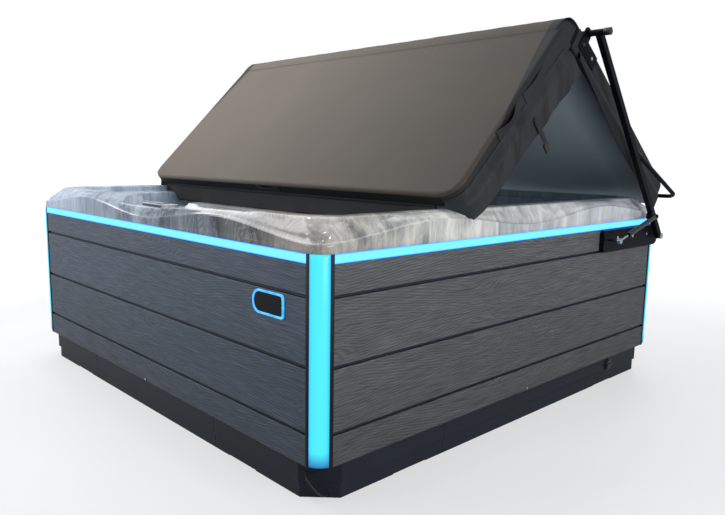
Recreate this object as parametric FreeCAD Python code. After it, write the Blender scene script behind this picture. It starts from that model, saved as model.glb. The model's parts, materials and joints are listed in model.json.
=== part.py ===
import FreeCAD, Part
import math
import os

Vec = FreeCAD.Vector

# A free-standing square hot tub with a timber-look cabinet, lit trims and a folding cover on a
# side-mounted lifter. Millimetres, +Z up. The origin is the middle of the base pan, on the floor.
# The lifter and the cover are drawn closed and then turned to the half-raised pose they rest in.

# Cabinet and base pan
cabinet_side = 2200.0
corner_radius = 60.0
pan_height = 118.0
pan_wall = 6.0
pan_inset = 10.0
pan_chamfer = 95.0
pan_step_height = 55.0
pan_step_inset = 8.0
pan_notch_length = 160.0
pan_notch_height = 5.0
cabinet_bottom = 120.0
board_thickness = 16.0
board_face_inset = 2.0
groove_width = 10.0
groove_heights = [223.3, 429.2, 642.7]
tongue_thickness = 6.0
light_height = 28.4
light_channel_depth = 51.5
diffuser_depth = 7.5
diffuser_gap = 0.5
corner_light_half_angle = 31.0
corner_light_depth = 8.0
corner_light_foot = 126.0

# Inner frame
post_side = 40.0
post_chamfer = 16.0
rail_height = 60.0
low_rail_bottoms = [124.0, 400.0]
top_rail_gap = 1.0
mid_post_place = 350.0
screw_height = 131.0
screw_head_radius = 5.0
screw_head_height = 3.0
screw_shank_radius = 2.5
screw_length = 34.0

# Vessel
crest_inset = 50.0
crease_drop = 70.0
crease_rise = 47.0
corner_facet_inset = 100.0
crest_width = 65.0
lip_band = 100.6
lip_rise = 32.0
shelf_height = 838.0
shelf_corner_radius = 110.0
pool_half = 900.0
pool_corner_radius = 150.0
seat_height = 450.0
seat_half = 830.0
seat_corner_radius = 180.0
scoop_height = 400.0
scoop_radius = 290.0
scoop_place = 530.0
footwell_half_top = 430.0
footwell_half_bottom = 400.0
footwell_corner_radius = 110.0
floor_height = 95.0
vessel_wall = 12.0
lip_hollow_outer_inset = 40.0
lip_hollow_inner_gap = 30.0
shelf_thickness = 26.0
platform_half = 340.0

# Control panel in its recess at the middle of the front rim
recess_left = -210.0
recess_right = 300.0
recess_front_wall = 42.0
recess_notch_right = 120.0
panel_length = 200.0
panel_width = 64.0
panel_height = 10.0
panel_middle = 15.0
panel_corner_radius = 14.0
screen_length = 74.0
screen_width = 34.0
screen_depth = 1.5
button_radius = 9.0
button_height = 6.0
button_proud = 2.2
button_travel = 1.2
button_gap = 0.4
button_spacing = 26.0

# Fittings on the inner shelf
knob_radius = 26.0
knob_height = 24.0
knob_stem_radius = 9.0
knob_stem_depth = 18.0
knob_spacing = 150.0
knob_middle = -230.0
knob_lobes = 6
knob_lobe_radius = 7.0
running_gap = 0.3
filter_place = 905.0
filter_radius = 46.0
filter_wall = 4.0
filter_depth = 168.0
filter_lid_radius = 56.0
filter_lid_height = 16.0
filter_lid_bar_width = 14.0
cartridge_radius = 36.0
cartridge_height = 120.0

# Jets and water lines
jet_rise = 14.0
jet_places = [-480.0, -160.0, 160.0, 480.0]
jet_face_radius = 38.0
jet_face_thickness = 7.0
jet_mouth_radius = 12.0
jet_tail_radius = 22.0
jet_nut_radius = 32.0
jet_nut_thickness = 10.0
pipe_radius = 25.0
manifold_half = 960.0
manifold_corner_radius = 180.0
manifold_gap = 44.0
pump_place = 300.0
pump_axis_height = 150.0
pump_wet_radius = 100.0
pump_wet_front = -650.0
pump_wet_back = -560.0
pump_motor_radius = 80.0
pump_motor_front = -930.0
pump_foot_width = 140.0
pump_foot_front = -900.0
pump_foot_back = -680.0
riser_level = 340.0
riser_bend = 70.0
suction_radius = 50.0
suction_height = 12.0
suction_place = 280.0
control_box_left = -900.0
control_box_length = 360.0
control_box_front = -960.0
control_box_depth = 200.0
control_box_height = 240.0
heater_radius = 38.0
heater_length = 380.0
heater_saddle_height = 10.0
heater_saddle_width = 30.0

# Drain valve in the right side of the pan
drain_place = 710.0
drain_height = 84.0
drain_body_radius = 20.0
drain_body_length = 60.0
drain_flange_radius = 30.0
drain_flange_thickness = 4.0
drain_cap_radius = 24.0
drain_cap_height = 9.0
drain_cap_bar_width = 9.0

# Light lead on the front right corner of the pan
lead_radius = 3.0
grommet_radius = 8.0
grommet_height = 4.0
lead_exit_along = 25.0
lead_exit_height = 80.0

# Badge on the front face
badge_middle = 856.0
badge_height = 594.0
badge_length = 162.0
badge_width = 78.0
badge_left_radius = 34.0
badge_right_radius = 14.0
badge_ring_width = 7.0
badge_ring_thickness = 6.0
badge_plate_thickness = 4.0

# Cover
cover_gap = 4.0
cover_half_width = 1090.0
fold_place = -101.6
fold_thickness = 105.0
front_length = 910.0
rear_length = 1164.0
front_edge_thickness = 65.0
rear_edge_thickness = 88.0
cover_corner_radius = 90.0
jacket_thickness = 2.0
fold_gap = 2.0
skirt_thickness = 2.5
front_skirt_out = 29.0
rear_skirt_out = 16.0
skirt_wave = 2.0
skirt_wave_length = 310.0
skirt_overlap = 14.0
skirt_start = 54.0
front_flap_drop = 84.0
front_flap_half = 880.0
front_flap_gap = 0.5
front_skirt_drops = [95.0, 66.0]
rear_skirt_drops = [82.0, 70.0]
band_thickness = 2.0
band_gap = 0.4
band_flap_width = 36.0
side_handle_starts = [220.0, 432.0]
side_handle_length = 165.0
side_handle_bottom = 28.0
side_handle_width = 46.0
side_handle_thickness = 5.0
front_handle_length = 170.0
front_handle_width = 36.0
front_handle_bottom = 16.0
strap_place = 415.0
strap_width = 22.0
strap_thickness = 2.0
strap_drop = 76.0
strap_root = 0.75
strap_seat_gap = 0.35
buckle_length = 44.0
buckle_width = 30.0
buckle_thickness = 8.0

# Lifter
pivot_y = 1040.0
pivot_drop = 53.0
raise_angle = 34.8
front_fold_angle = 77.6
arm_inner_gap = 30.0
arm_thickness = 24.0
arm_width = 28.0
bar_radius = 13.0
bar_behind_fold = 56.6
bar_gap = 0.3
bar_overhang = 34.0
cap_radius = 15.0
cap_length = 22.0
cap_end = 4.0
clamp_thickness = 5.0
clamp_length = 150.0
clamp_height = 74.0
clamp_ear_radius = 26.0
clamp_screw_spacing = 84.0
cradle_radius = 10.0
cradle_bend = 45.0
cradle_arm_share = 0.48
cradle_clearance = 3.0
cradle_height = 63.0
axle_radius = 8.0
axle_head_radius = 15.0
axle_head_height = 6.0
spacer_radius = 15.0
bracket_thickness = 22.0
bracket_front = 530.0
bracket_height = 98.0
bracket_drop = 3.0
bracket_corner_radius = 16.0
bracket_end_radius = 45.0
bracket_bolt_places = [650.0, 800.0, 950.0]
bracket_bolt_drop = 38.0
bolt_head_radius = 8.0
bolt_head_height = 5.0
bolt_shank_radius = 4.0
bolt_length = 60.0
stop_bolt_y = 1022.0
stop_bolt_drop = 16.0
stop_bolt_length = 6.0
ear_radius = 16.0
spring_arm_reach = 150.0
spring_arm_lead = 8.0
spring_offset = 14.0
spring_foot_y = 580.0
spring_foot_drop = 44.0
stud_radius = 5.0
stud_head_radius = 9.0
stud_head_height = 4.0
eye_radius = 12.0
eye_thickness = 15.2
cylinder_radius = 10.5
cylinder_bore = 8.6
cylinder_length = 266.0
spring_rod_radius = 4.0
spring_rod_inside = 176.0
piston_length = 12.0

half = cabinet_side / 2
lip_crest = shelf_height + lip_rise
light_top = lip_crest - lip_band
light_bottom = light_top - light_height
crease_low = lip_crest - crease_drop
lip_hollow_top = shelf_height - shelf_thickness
filter_bottom = shelf_height - filter_depth
manifold_height = filter_bottom - manifold_gap
jet_height = manifold_height + jet_rise
cover_bottom = lip_crest + cover_gap
rail_bottoms = low_rail_bottoms + [light_bottom - top_rail_gap - rail_height]
bracket_top = light_bottom - bracket_drop
bracket_bottom = bracket_top - bracket_height
bracket_bolt_height = bracket_top - bracket_bolt_drop
stop_bolt_z = bracket_top - stop_bolt_drop
spring_foot_z = bracket_top - spring_foot_drop
pivot_z = bracket_top - pivot_drop
board_face = half - board_face_inset
board_back = board_face - board_thickness
post_outer = half - corner_radius
X_AXIS = Vec(1, 0, 0)
Y_AXIS = Vec(0, 1, 0)
Z_AXIS = Vec(0, 0, 1)
parts = {}


def box(x0, x1, y0, y1, z0, z1):
    return Part.makeBox(x1 - x0, y1 - y0, z1 - z0, Vec(x0, y0, z0))


def rod(start, end, radius):
    run = end - start
    return Part.makeCylinder(radius, run.Length, start, run)


def turned(shape, centre, axis, degrees):
    copy = shape.copy()
    copy.rotate(centre, axis, degrees)
    return copy


def mirrored(shape):
    return shape.mirror(Vec(0, 0, 0), X_AXIS)


def both_sides(shape):
    return [shape, mirrored(shape)]


def four_sides(shape):
    return [turned(shape, Vec(0, 0, 0), Z_AXIS, quarter * 90) for quarter in range(4)]


def group(shapes):
    return Part.makeCompound(shapes)


def cut_all(shape, tools):
    return shape.cut(tools) if tools else shape


def prism(points, run):
    return Part.Face(Part.makePolygon(points + [points[0]])).extrude(run)


def rounded_wire(half_x, half_y, radius, z):
    """A rectangle with rounded corners about the Z axis, begun at the same place every time."""
    turn = math.sqrt(0.5)
    edges = []
    corners = [(1, -1), (1, 1), (-1, 1), (-1, -1)]
    for index, (sx, sy) in enumerate(corners):
        centre = Vec(sx * (half_x - radius), sy * (half_y - radius), z)
        into = Vec(0, sy * radius, 0) if sx * sy < 0 else Vec(sx * radius, 0, 0)
        out = Vec(sx * radius, 0, 0) if sx * sy < 0 else Vec(0, sy * radius, 0)
        middle = Vec(sx * radius * turn, sy * radius * turn, 0)
        edges.append(Part.Arc(centre + into, centre + middle, centre + out).toShape())
        nx, ny = corners[(index + 1) % 4]
        next_centre = Vec(nx * (half_x - radius), ny * (half_y - radius), z)
        next_into = Vec(0, ny * radius, 0) if nx * ny < 0 else Vec(nx * radius, 0, 0)
        edges.append(Part.LineSegment(centre + out, next_centre + next_into).toShape())
    return Part.Wire(edges)


def rounded_prism(half_x, half_y, radius, z0, z1):
    face = Part.Face(rounded_wire(half_x, half_y, radius, z0))
    return face.extrude(Vec(0, 0, z1 - z0))


def chamfered_prism(half_side, leg, z0, z1):
    a, b = half_side, half_side - leg
    corners = [(b, -a), (a, -b), (a, b), (b, a), (-b, a), (-a, b), (-a, -b), (-b, -a)]
    return prism([Vec(x, y, z0) for x, y in corners], Vec(0, 0, z1 - z0))


def bent_pipe(points, bends, radius):
    """A round tube along straight runs, with a tangent arc of the given radius at each corner."""
    edges = []
    start = points[0]
    for before, corner, after, bend in zip(points, points[1:], points[2:], bends):
        into = (corner - before).normalize()
        out = (after - corner).normalize()
        turn = into.getAngle(out)
        reach = bend * math.tan(turn / 2)
        first = corner - into * reach
        last = corner + out * reach
        towards = (out - into).normalize()
        middle = corner + towards * (bend / math.cos(turn / 2) - bend)
        edges.append(Part.LineSegment(start, first).toShape())
        edges.append(Part.Arc(first, middle, last).toShape())
        start = last
    edges.append(Part.LineSegment(start, points[-1]).toShape())
    section = Part.Wire(Part.makeCircle(radius, points[0], points[1] - points[0]))
    return Part.Wire(edges).makePipeShell([section], True, True)


# Base pan: a moulded tray with a stepped, chamfered wall and shallow lifting notches
pan_half = half - pan_inset
pan_lower_half = pan_half - pan_step_inset
offset_share = 2 - math.sqrt(2)


def pan_tier(inset, z0, z1):
    return chamfered_prism(pan_half - inset, pan_chamfer - offset_share * inset, z0, z1)


pan = pan_tier(pan_step_inset, 0, pan_step_height).fuse(pan_tier(0, pan_step_height, pan_height))
ledge_top = pan_step_height + pan_wall
pan = pan.cut(pan_tier(pan_step_inset + pan_wall, pan_wall, ledge_top))
pan = pan.cut(pan_tier(pan_wall, ledge_top, pan_height))
pan = pan.fuse(box(-platform_half, platform_half, -platform_half, platform_half,
                   pan_wall / 2, floor_height - vessel_wall))
notch = box(-pan_notch_length / 2, pan_notch_length / 2, -pan_half, -pan_lower_half + pan_wall / 2,
            0, pan_notch_height)
for place in (-pan_half * 0.62, pan_half * 0.62):
    shifted = notch.copy()
    shifted.translate(Vec(place, 0, 0))
    pan = pan.cut(four_sides(shifted))
drain_centre = Vec(pan_half, drain_place, drain_height)
pan = pan.cut(rod(drain_centre - X_AXIS * pan_wall * 2, drain_centre + X_AXIS, drain_body_radius))

# Light lead: it leaves the chamfer of the pan near its top and goes back in near the floor
chamfer_start = Vec(pan_half - pan_chamfer, -pan_half, 0)
along_chamfer = Vec(1, 1, 0).normalize()
off_chamfer = Vec(1, -1, 0).normalize()


def chamfer_point(along, off, z):
    return chamfer_start + along_chamfer * along + off_chamfer * off + Vec(0, 0, z)


lead_route = [
    chamfer_point(lead_exit_along, -pan_wall, lead_exit_height),
    chamfer_point(lead_exit_along, 27, lead_exit_height),
    chamfer_point(45, 36, 57),
    chamfer_point(65, 31, 31),
    chamfer_point(84, 16, 14),
    chamfer_point(92, -pan_step_inset - pan_wall, 12),
]


def cord_bends(points):
    """The largest radius that both runs beside each corner leave room for."""
    bends = []
    for before, corner, after in zip(points, points[1:], points[2:]):
        turn = (corner - before).getAngle(after - corner)
        shorter = min((corner - before).Length, (after - corner).Length)
        bends.append(0.45 * shorter / math.tan(turn / 2))
    return bends


lead_bends = cord_bends(lead_route)
print("lead bend radii", [round(bend, 1) for bend in lead_bends])
lead = bent_pipe(lead_route, lead_bends, lead_radius)
parts["light_lead"] = lead
lead_hole = lead_radius + diffuser_gap
lead_exit = chamfer_point(lead_exit_along, 0, lead_exit_height)
lead_entry_way = (lead_route[-1] - lead_route[-2]).normalize()
lead_exit_hole = rod(lead_exit - off_chamfer * pan_wall * 2,
                     lead_exit + off_chamfer * grommet_height * 2, lead_hole)
lead_entry_hole = rod(lead_route[-2], lead_route[-1] + lead_entry_way * pan_wall, lead_hole)
pan = pan.cut([lead_exit_hole, lead_entry_hole])
grommet = rod(lead_exit, lead_exit + off_chamfer * grommet_height, grommet_radius)
parts["lead_grommet"] = grommet.cut(lead_exit_hole)
parts["base_pan"] = pan

# Drain valve through the pan wall, with a cap that turns to open it
flange_start = drain_centre
flange_end = drain_centre + X_AXIS * drain_flange_thickness
valve_body = rod(drain_centre - X_AXIS * drain_body_length, flange_start, drain_body_radius)
parts["drain_valve"] = valve_body.fuse(rod(flange_start, flange_end, drain_flange_radius))
cap_start = flange_end + X_AXIS * running_gap
cap_face = cap_start + X_AXIS * drain_cap_height
drain_cap = rod(cap_start, cap_face, drain_cap_radius)
for side in (-1, 1):
    cutter = box(cap_face.x - drain_cap_height / 2, cap_face.x + 1,
                 drain_place - drain_cap_radius, drain_place + drain_cap_radius,
                 0, drain_cap_radius)
    cutter.translate(Vec(0, 0, drain_height + drain_cap_bar_width / 2))
    drain_cap = drain_cap.cut(turned(cutter, drain_centre, X_AXIS, 0 if side > 0 else 180))
parts["drain_cap"] = drain_cap

# Inner frame: corner and middle posts on the pan floor, with rails across their outer faces
post_inner = post_outer - post_side
corner_post = prism([Vec(post_inner, -post_outer, pan_wall),
                     Vec(post_outer - post_chamfer, -post_outer, pan_wall),
                     Vec(post_outer, -post_outer + post_chamfer, pan_wall),
                     Vec(post_outer, -post_inner, pan_wall),
                     Vec(post_inner, -post_inner, pan_wall)], Vec(0, 0, light_bottom - pan_wall))
mid_posts = []
for place in (-mid_post_place, mid_post_place):
    mid_posts.append(box(place - post_side / 2, place + post_side / 2, -post_outer, -post_inner,
                         pan_wall, light_bottom))
posts = four_sides(corner_post)
for mid_post in mid_posts:
    posts += four_sides(mid_post)
parts["frame_posts"] = group(posts)
rails = []
for bottom in rail_bottoms:
    rail = box(-post_outer, post_outer, -board_back, -post_outer, bottom, bottom + rail_height)
    rails += four_sides(rail)

# Cabinet cladding: four boards on every side, each with a tongue behind the groove above it
board_edges = [cabinet_bottom] + groove_heights + [light_bottom]
boards = []
for index, (low, high) in enumerate(zip(board_edges, board_edges[1:])):
    foot = low + groove_width / 2 if index else low
    if index < len(groove_heights):
        head = high - groove_width / 2
        board = box(-post_outer, post_outer, -board_face, -board_back, foot, head)
        tongue = box(-post_outer, post_outer, -board_back - tongue_thickness, -board_back,
                     head, head + groove_width)
        boards.append(board.fuse(tongue).removeSplitter())
    else:
        boards.append(box(-post_outer, post_outer, -board_face, -board_back, foot, high))

# Screws that hold the lowest board of each side to the bottom rail
screw_seat = -board_face
screws = []
screw_holes = []
head = rod(Vec(0, screw_seat - screw_head_height, screw_height), Vec(0, screw_seat, screw_height),
           screw_head_radius)
shank = rod(Vec(0, screw_seat, screw_height), Vec(0, screw_seat + screw_length, screw_height),
            screw_shank_radius)
screws += four_sides(head.fuse(shank))
screw_holes += four_sides(shank)
parts["panel_screws"] = group(screws)

# Lifter brackets: one plate on each side of the cabinet, bolted through the boards to the top rail
bracket_face = board_face
bracket_outer = bracket_face + bracket_thickness
bracket = box(bracket_face, bracket_outer, bracket_front + bracket_corner_radius, pivot_y,
              bracket_bottom, bracket_top)
front_end = box(bracket_face, bracket_outer, bracket_front, bracket_front + bracket_corner_radius,
                bracket_bottom + bracket_corner_radius, bracket_top - bracket_corner_radius)
bracket_pieces = [front_end]
for level in (bracket_bottom + bracket_corner_radius, bracket_top - bracket_corner_radius):
    centre = Vec(bracket_face, bracket_front + bracket_corner_radius, level)
    bracket_pieces.append(rod(centre, centre + X_AXIS * bracket_thickness, bracket_corner_radius))
bracket_pieces.append(rod(Vec(half, pivot_y, pivot_z), Vec(bracket_outer, pivot_y, pivot_z),
                          bracket_end_radius))
bracket = bracket.fuse(bracket_pieces).removeSplitter()
axle_hole = rod(Vec(bracket_face - 1, pivot_y, pivot_z), Vec(bracket_outer + 1, pivot_y, pivot_z),
                axle_radius)
bolt_shapes = []
bolt_holes = []
for place in bracket_bolt_places:
    seat = Vec(bracket_outer, place, bracket_bolt_height)
    shank = rod(seat - X_AXIS * bolt_length, seat, bolt_shank_radius)
    head = rod(seat, seat + X_AXIS * bolt_head_height, bolt_head_radius)
    bolt_shapes += both_sides(shank.fuse(head))
    bolt_holes += both_sides(shank)
stop_seat = Vec(bracket_outer, stop_bolt_y, stop_bolt_z)
bolt_shapes += both_sides(rod(stop_seat, stop_seat + X_AXIS * stop_bolt_length, bolt_head_radius))
stud_hole = rod(Vec(bracket_face - 1, spring_foot_y, spring_foot_z),
                Vec(bracket_outer + 1, spring_foot_y, spring_foot_z), stud_radius)
bracket = bracket.cut([axle_hole, stud_hole])
parts["bracket_bolts"] = group(bolt_shapes)
parts["bracket_plates"] = group([cut_all(shape, bolt_holes) for shape in both_sides(bracket)])
fastener_holes = screw_holes + bolt_holes
parts["frame_rails"] = group([cut_all(rail, fastener_holes) for rail in rails])
for quarter, name in enumerate(("front_boards", "right_boards", "rear_boards", "left_boards")):
    side_boards = [turned(board, Vec(0, 0, 0), Z_AXIS, quarter * 90) for board in boards]
    parts[name] = group([cut_all(board, fastener_holes) for board in side_boards])

# Corner posts: a black quarter-round trim with a lit diffuser let into its face
corner_axis = Vec(post_outer, -post_outer, 0)


def corner_sector(inner, outer, half_angle, z0, z1):
    """Part of a ring about the front right corner's axis, centred on the diagonal."""
    height = z1 - z0
    base = corner_axis + Vec(0, 0, z0)
    disc = Part.makeCylinder(outer, height, base, Z_AXIS, 2 * half_angle)
    disc.rotate(base, Z_AXIS, -45 - half_angle)
    if inner <= 0:
        return disc
    return disc.cut(Part.makeCylinder(inner, height, base, Z_AXIS))


diffuser_inner = corner_radius - corner_light_depth
light_slot = corner_sector(diffuser_inner, corner_radius + 1, corner_light_half_angle,
                           corner_light_foot, light_top + 1)
corner_trim = corner_sector(0, corner_radius, 45, cabinet_bottom, light_top).cut(light_slot)
parts["corner_channels"] = group(four_sides(corner_trim))
corner_light = corner_sector(diffuser_inner, corner_radius - diffuser_gap, corner_light_half_angle,
                             corner_light_foot, light_top)
parts["corner_diffusers"] = group(four_sides(corner_light))

# Rim light: a black channel under the lip on every side, with a lit diffuser along its face
channel_face = half - diffuser_gap - diffuser_depth
channel = box(-post_outer, post_outer, -channel_face, -channel_face + light_channel_depth,
              light_bottom, light_top)
parts["rim_channels"] = group(four_sides(channel))
rim_light = box(-post_outer, post_outer, -half + diffuser_gap, -channel_face,
                light_bottom, light_top)
parts["rim_diffusers"] = group(four_sides(rim_light))


# Vessel: one moulded shell with a waved lip, an inner shelf, bench seats and a footwell
def vessel(out):
    """The space inside the shell, or with a wall's thickness added the body around it."""
    top = shelf_height + 1 if out else lip_crest + 1
    rise = (top - seat_height) / (shelf_height - seat_height)
    top_half = seat_half + (pool_half - seat_half) * rise
    pool = Part.makeLoft([rounded_wire(seat_half + out, seat_half + out, seat_corner_radius + out,
                                       seat_height - out),
                          rounded_wire(top_half + out, top_half + out, pool_corner_radius + out, top)],
                         True, True)
    well = Part.makeLoft([rounded_wire(footwell_half_bottom + out, footwell_half_bottom + out,
                                       footwell_corner_radius + out, floor_height - out),
                          rounded_wire(footwell_half_top + out, footwell_half_top + out,
                                       footwell_corner_radius + out, seat_height + 1)], True, True)
    scoop = Part.makeCylinder(scoop_radius + out, seat_height + 1 - scoop_height + out,
                              Vec(scoop_place, -scoop_place, scoop_height - out))
    return pool.fuse([well] + four_sides(scoop))


def crease_height(s):
    """Two swells along each side: low at the corners and at the middle."""
    return crease_low + crease_rise * math.sin(math.pi * s / half) ** 2


def wave_cutter():
    """What lies above the sloping outer band of the front lip."""
    beyond = 10.0
    reach = half + 2 * beyond
    top = lip_crest + 40.0
    wires = []
    for place, share in ((half + beyond, 1 + beyond / crest_inset), (half - crest_inset - beyond / 2,
                                                                     -beyond / 2 / crest_inset)):
        count = 24
        line = []
        for step in range(count + 1):
            s = -reach + 2 * reach * step / count
            line.append(Vec(s, -place, lip_crest - (lip_crest - crease_height(s)) * share))
        curve = Part.BSplineCurve()
        curve.interpolate(line)
        first, last = line[0], line[-1]
        upper_last = Vec(last.x, -place, top)
        upper_first = Vec(first.x, -place, top)
        wires.append(Part.Wire([curve.toShape(),
                                Part.LineSegment(last, upper_last).toShape(),
                                Part.LineSegment(upper_last, upper_first).toShape(),
                                Part.LineSegment(upper_first, first).toShape()]))
    return Part.makeLoft(wires, True, True)


def facet_cutter():
    """What lies above the sloping facet across the front right corner of the lip."""
    root = math.sqrt(2)
    inner = (half - corner_facet_inset) * root
    outer = (half - corner_radius) * root + corner_radius
    fall = (lip_crest - crease_low) / (outer - inner)
    start, end, top = inner - 20, outer + 30, lip_crest + 40
    outline = [(start, lip_crest + 20 * fall), (end, crease_low - 30 * fall), (end, top), (start, top)]
    spread = 3 * corner_facet_inset
    wedge = prism([Vec(d, -spread, z) for d, z in outline], Vec(0, 2 * spread, 0))
    return turned(wedge, Vec(0, 0, 0), Z_AXIS, -45)


shelf_half = half - crest_inset - crest_width
lip = rounded_prism(half, half, corner_radius, light_top, lip_crest)
hollow_outer = half - lip_hollow_outer_inset
hollow_inner = pool_half + lip_hollow_inner_gap
lip_hollow = rounded_prism(hollow_outer, hollow_outer, corner_radius, light_top, lip_hollow_top)
lip_hollow = lip_hollow.cut(rounded_prism(hollow_inner, hollow_inner, pool_corner_radius,
                                          light_top, lip_hollow_top))
vessel_body = vessel(vessel_wall)
shell = lip.cut(lip_hollow).fuse(vessel_body).cut(vessel(0))
shell = shell.cut(rounded_prism(shelf_half, shelf_half, shelf_corner_radius, shelf_height, lip_crest + 1))
recess_front = -half + recess_front_wall
recess = box(recess_left, recess_right, recess_front, -shelf_half + 1, shelf_height, lip_crest + 1)
recess_notch = box(recess_left, recess_notch_right, -half - 1, recess_front + 1, shelf_height,
                   lip_crest + 1)
shell = shell.cut([recess, recess_notch])
shell = shell.cut(four_sides(wave_cutter()) + four_sides(facet_cutter()))

# Jets through the backrests, fed by a ring of pipe behind them
wall_tilt = math.atan2(pool_half - seat_half, shelf_height - seat_height)
wall_slope = math.tan(wall_tilt)
jet_wall = seat_half + (jet_height - seat_height) * wall_slope
jet_out = Vec(0, -math.cos(wall_tilt), -math.sin(wall_tilt))
manifold_straight = manifold_half - manifold_corner_radius
manifold_side = rod(Vec(-manifold_straight, -manifold_half, manifold_height),
                    Vec(manifold_straight, -manifold_half, manifold_height), pipe_radius)
elbow_section = Part.Face(Part.Wire(Part.makeCircle(
    pipe_radius, Vec(manifold_straight, -manifold_half, manifold_height), X_AXIS)))
elbow = elbow_section.revolve(Vec(manifold_straight, -manifold_straight, manifold_height), Z_AXIS, 90)
ring_pieces = four_sides(manifold_side) + four_sides(elbow)
manifold = ring_pieces[0].fuse(ring_pieces[1:])
jets = []
jet_bores = []
for place in jet_places:
    seat = Vec(place, -jet_wall, jet_height)
    face = rod(seat - jet_out * jet_face_thickness, seat, jet_face_radius)
    mouth = rod(seat - jet_out * (jet_face_thickness + 1), seat - jet_out * 2, jet_mouth_radius)
    tail_end = Vec(place, -manifold_half, manifold_height)
    tail = rod(seat, seat + jet_out * (tail_end - seat).dot(jet_out), jet_tail_radius)
    back = seat + jet_out * vessel_wall
    nut = rod(back, back + jet_out * jet_nut_thickness, jet_nut_radius).cut(vessel_body)
    jet = face.fuse([tail, nut]).cut([mouth, manifold_side])
    jets += four_sides(jet)
    jet_bores += four_sides(rod(seat - jet_out, seat + jet_out * vessel_wall * 2, jet_tail_radius))
shell = shell.cut(jet_bores)

# Diverter knobs on the right shelf, each on a stem through the shelf
shelf_middle = (pool_half + shelf_half) / 2
knobs = []
stem_holes = []
for index in (-1, 0, 1):
    foot = Vec(shelf_middle, knob_middle + index * knob_spacing, shelf_height)
    body_start = foot + Z_AXIS * running_gap
    knob = rod(body_start, body_start + Z_AXIS * knob_height, knob_radius)
    for lobe in range(knob_lobes):
        angle = 2 * math.pi * lobe / knob_lobes
        edge = body_start + Vec(math.cos(angle), math.sin(angle), 0) * (knob_radius + knob_lobe_radius / 3)
        knob = knob.cut(rod(edge + Z_AXIS * knob_height / 3, edge + Z_AXIS * (knob_height + 1),
                            knob_lobe_radius))
    stem = rod(foot - Z_AXIS * knob_stem_depth, body_start, knob_stem_radius)
    knobs.append(knob.fuse(stem))
    stem_holes.append(rod(foot - Z_AXIS * (knob_stem_depth + 1), foot + Z_AXIS,
                          knob_stem_radius + running_gap))
for name, knob in zip(("diverter_knob_front", "diverter_knob_middle", "diverter_knob_rear"), knobs):
    parts[name] = knob

# Filter in the front left corner of the shelf: a moulded cup, its cartridge and a lid that turns to unlock
filter_top = Vec(-filter_place, -filter_place, shelf_height)
filter_base = Vec(-filter_place, -filter_place, filter_bottom)
cup_floor = filter_base + Z_AXIS * filter_wall
cup = rod(filter_base, filter_top, filter_radius)
cup_space = rod(cup_floor, filter_top + Z_AXIS, filter_radius - filter_wall)
cartridge = rod(cup_floor, cup_floor + Z_AXIS * cartridge_height, cartridge_radius)
cartridge_bore = rod(cup_floor + Z_AXIS * filter_wall, cup_floor + Z_AXIS * (cartridge_height + 1),
                     cartridge_radius / 2)
parts["filter_cartridge"] = cartridge.cut(cartridge_bore)
lid_start = filter_top + Z_AXIS * running_gap
lid_end = lid_start + Z_AXIS * filter_lid_height
filter_lid = rod(lid_start, lid_end, filter_lid_radius)
lid_dish = rod(lid_start + Z_AXIS * filter_lid_height / 2, lid_end + Z_AXIS,
               filter_lid_radius - filter_lid_bar_width)
lid_bar = box(-filter_place - filter_lid_radius, -filter_place + filter_lid_radius,
              -filter_place - filter_lid_bar_width / 2, -filter_place + filter_lid_bar_width / 2,
              lid_start.z, lid_end.z + 1)
parts["filter_lid"] = filter_lid.cut(lid_dish.cut(lid_bar))
shell = shell.fuse(cup).cut(stem_holes + [cup_space])
parts["vessel_shell"] = shell
parts["jets"] = group(jets)

# Suction covers on the footwell floor
suction_covers = []
for place in (-suction_place, suction_place):
    foot = Vec(place, 0, floor_height)
    dome = Part.makeCone(suction_radius, suction_radius * 0.7, suction_height, foot)
    slots = []
    for step in range(-3, 4):
        slots.append(box(place - suction_radius, place + suction_radius, step * 12 - 2, step * 12 + 2,
                         floor_height + suction_height - 4, floor_height + suction_height + 1))
    ring_limit = rod(foot, foot + Z_AXIS * suction_height * 2, suction_radius * 0.62)
    suction_covers.append(dome.cut([slot.common(ring_limit) for slot in slots]))
parts["suction_covers"] = group(suction_covers)

# Pumps under the front bench: motor, wet end and foot, each feeding the ring through a riser
pumps = []
risers = []
for place in (-pump_place, pump_place):
    def at(y, z=pump_axis_height):
        return Vec(place, y, z)

    motor = rod(at(pump_motor_front), at(pump_wet_front), pump_motor_radius)
    wet_end = rod(at(pump_wet_front), at(pump_wet_back), pump_wet_radius)
    foot = box(place - pump_foot_width / 2, place + pump_foot_width / 2, pump_foot_front, pump_foot_back,
               pan_wall, pump_axis_height)
    pumps.append(motor.fuse([wet_end, foot]).removeSplitter())
    wet_middle = (pump_wet_front + pump_wet_back) / 2
    route = [at(wet_middle, pump_axis_height), at(wet_middle, riser_level), at(-manifold_half, riser_level),
             at(-manifold_half, manifold_height)]
    riser = bent_pipe(route, [riser_bend, riser_bend], pipe_radius)
    risers.append(riser.cut([wet_end, manifold_side]))
    intake = rod(at(pump_wet_back), at(-footwell_half_bottom), pipe_radius)
    risers.append(intake.cut(vessel_body))
parts["jet_pumps"] = group(pumps)
parts["water_lines"] = group([manifold] + risers)

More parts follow.
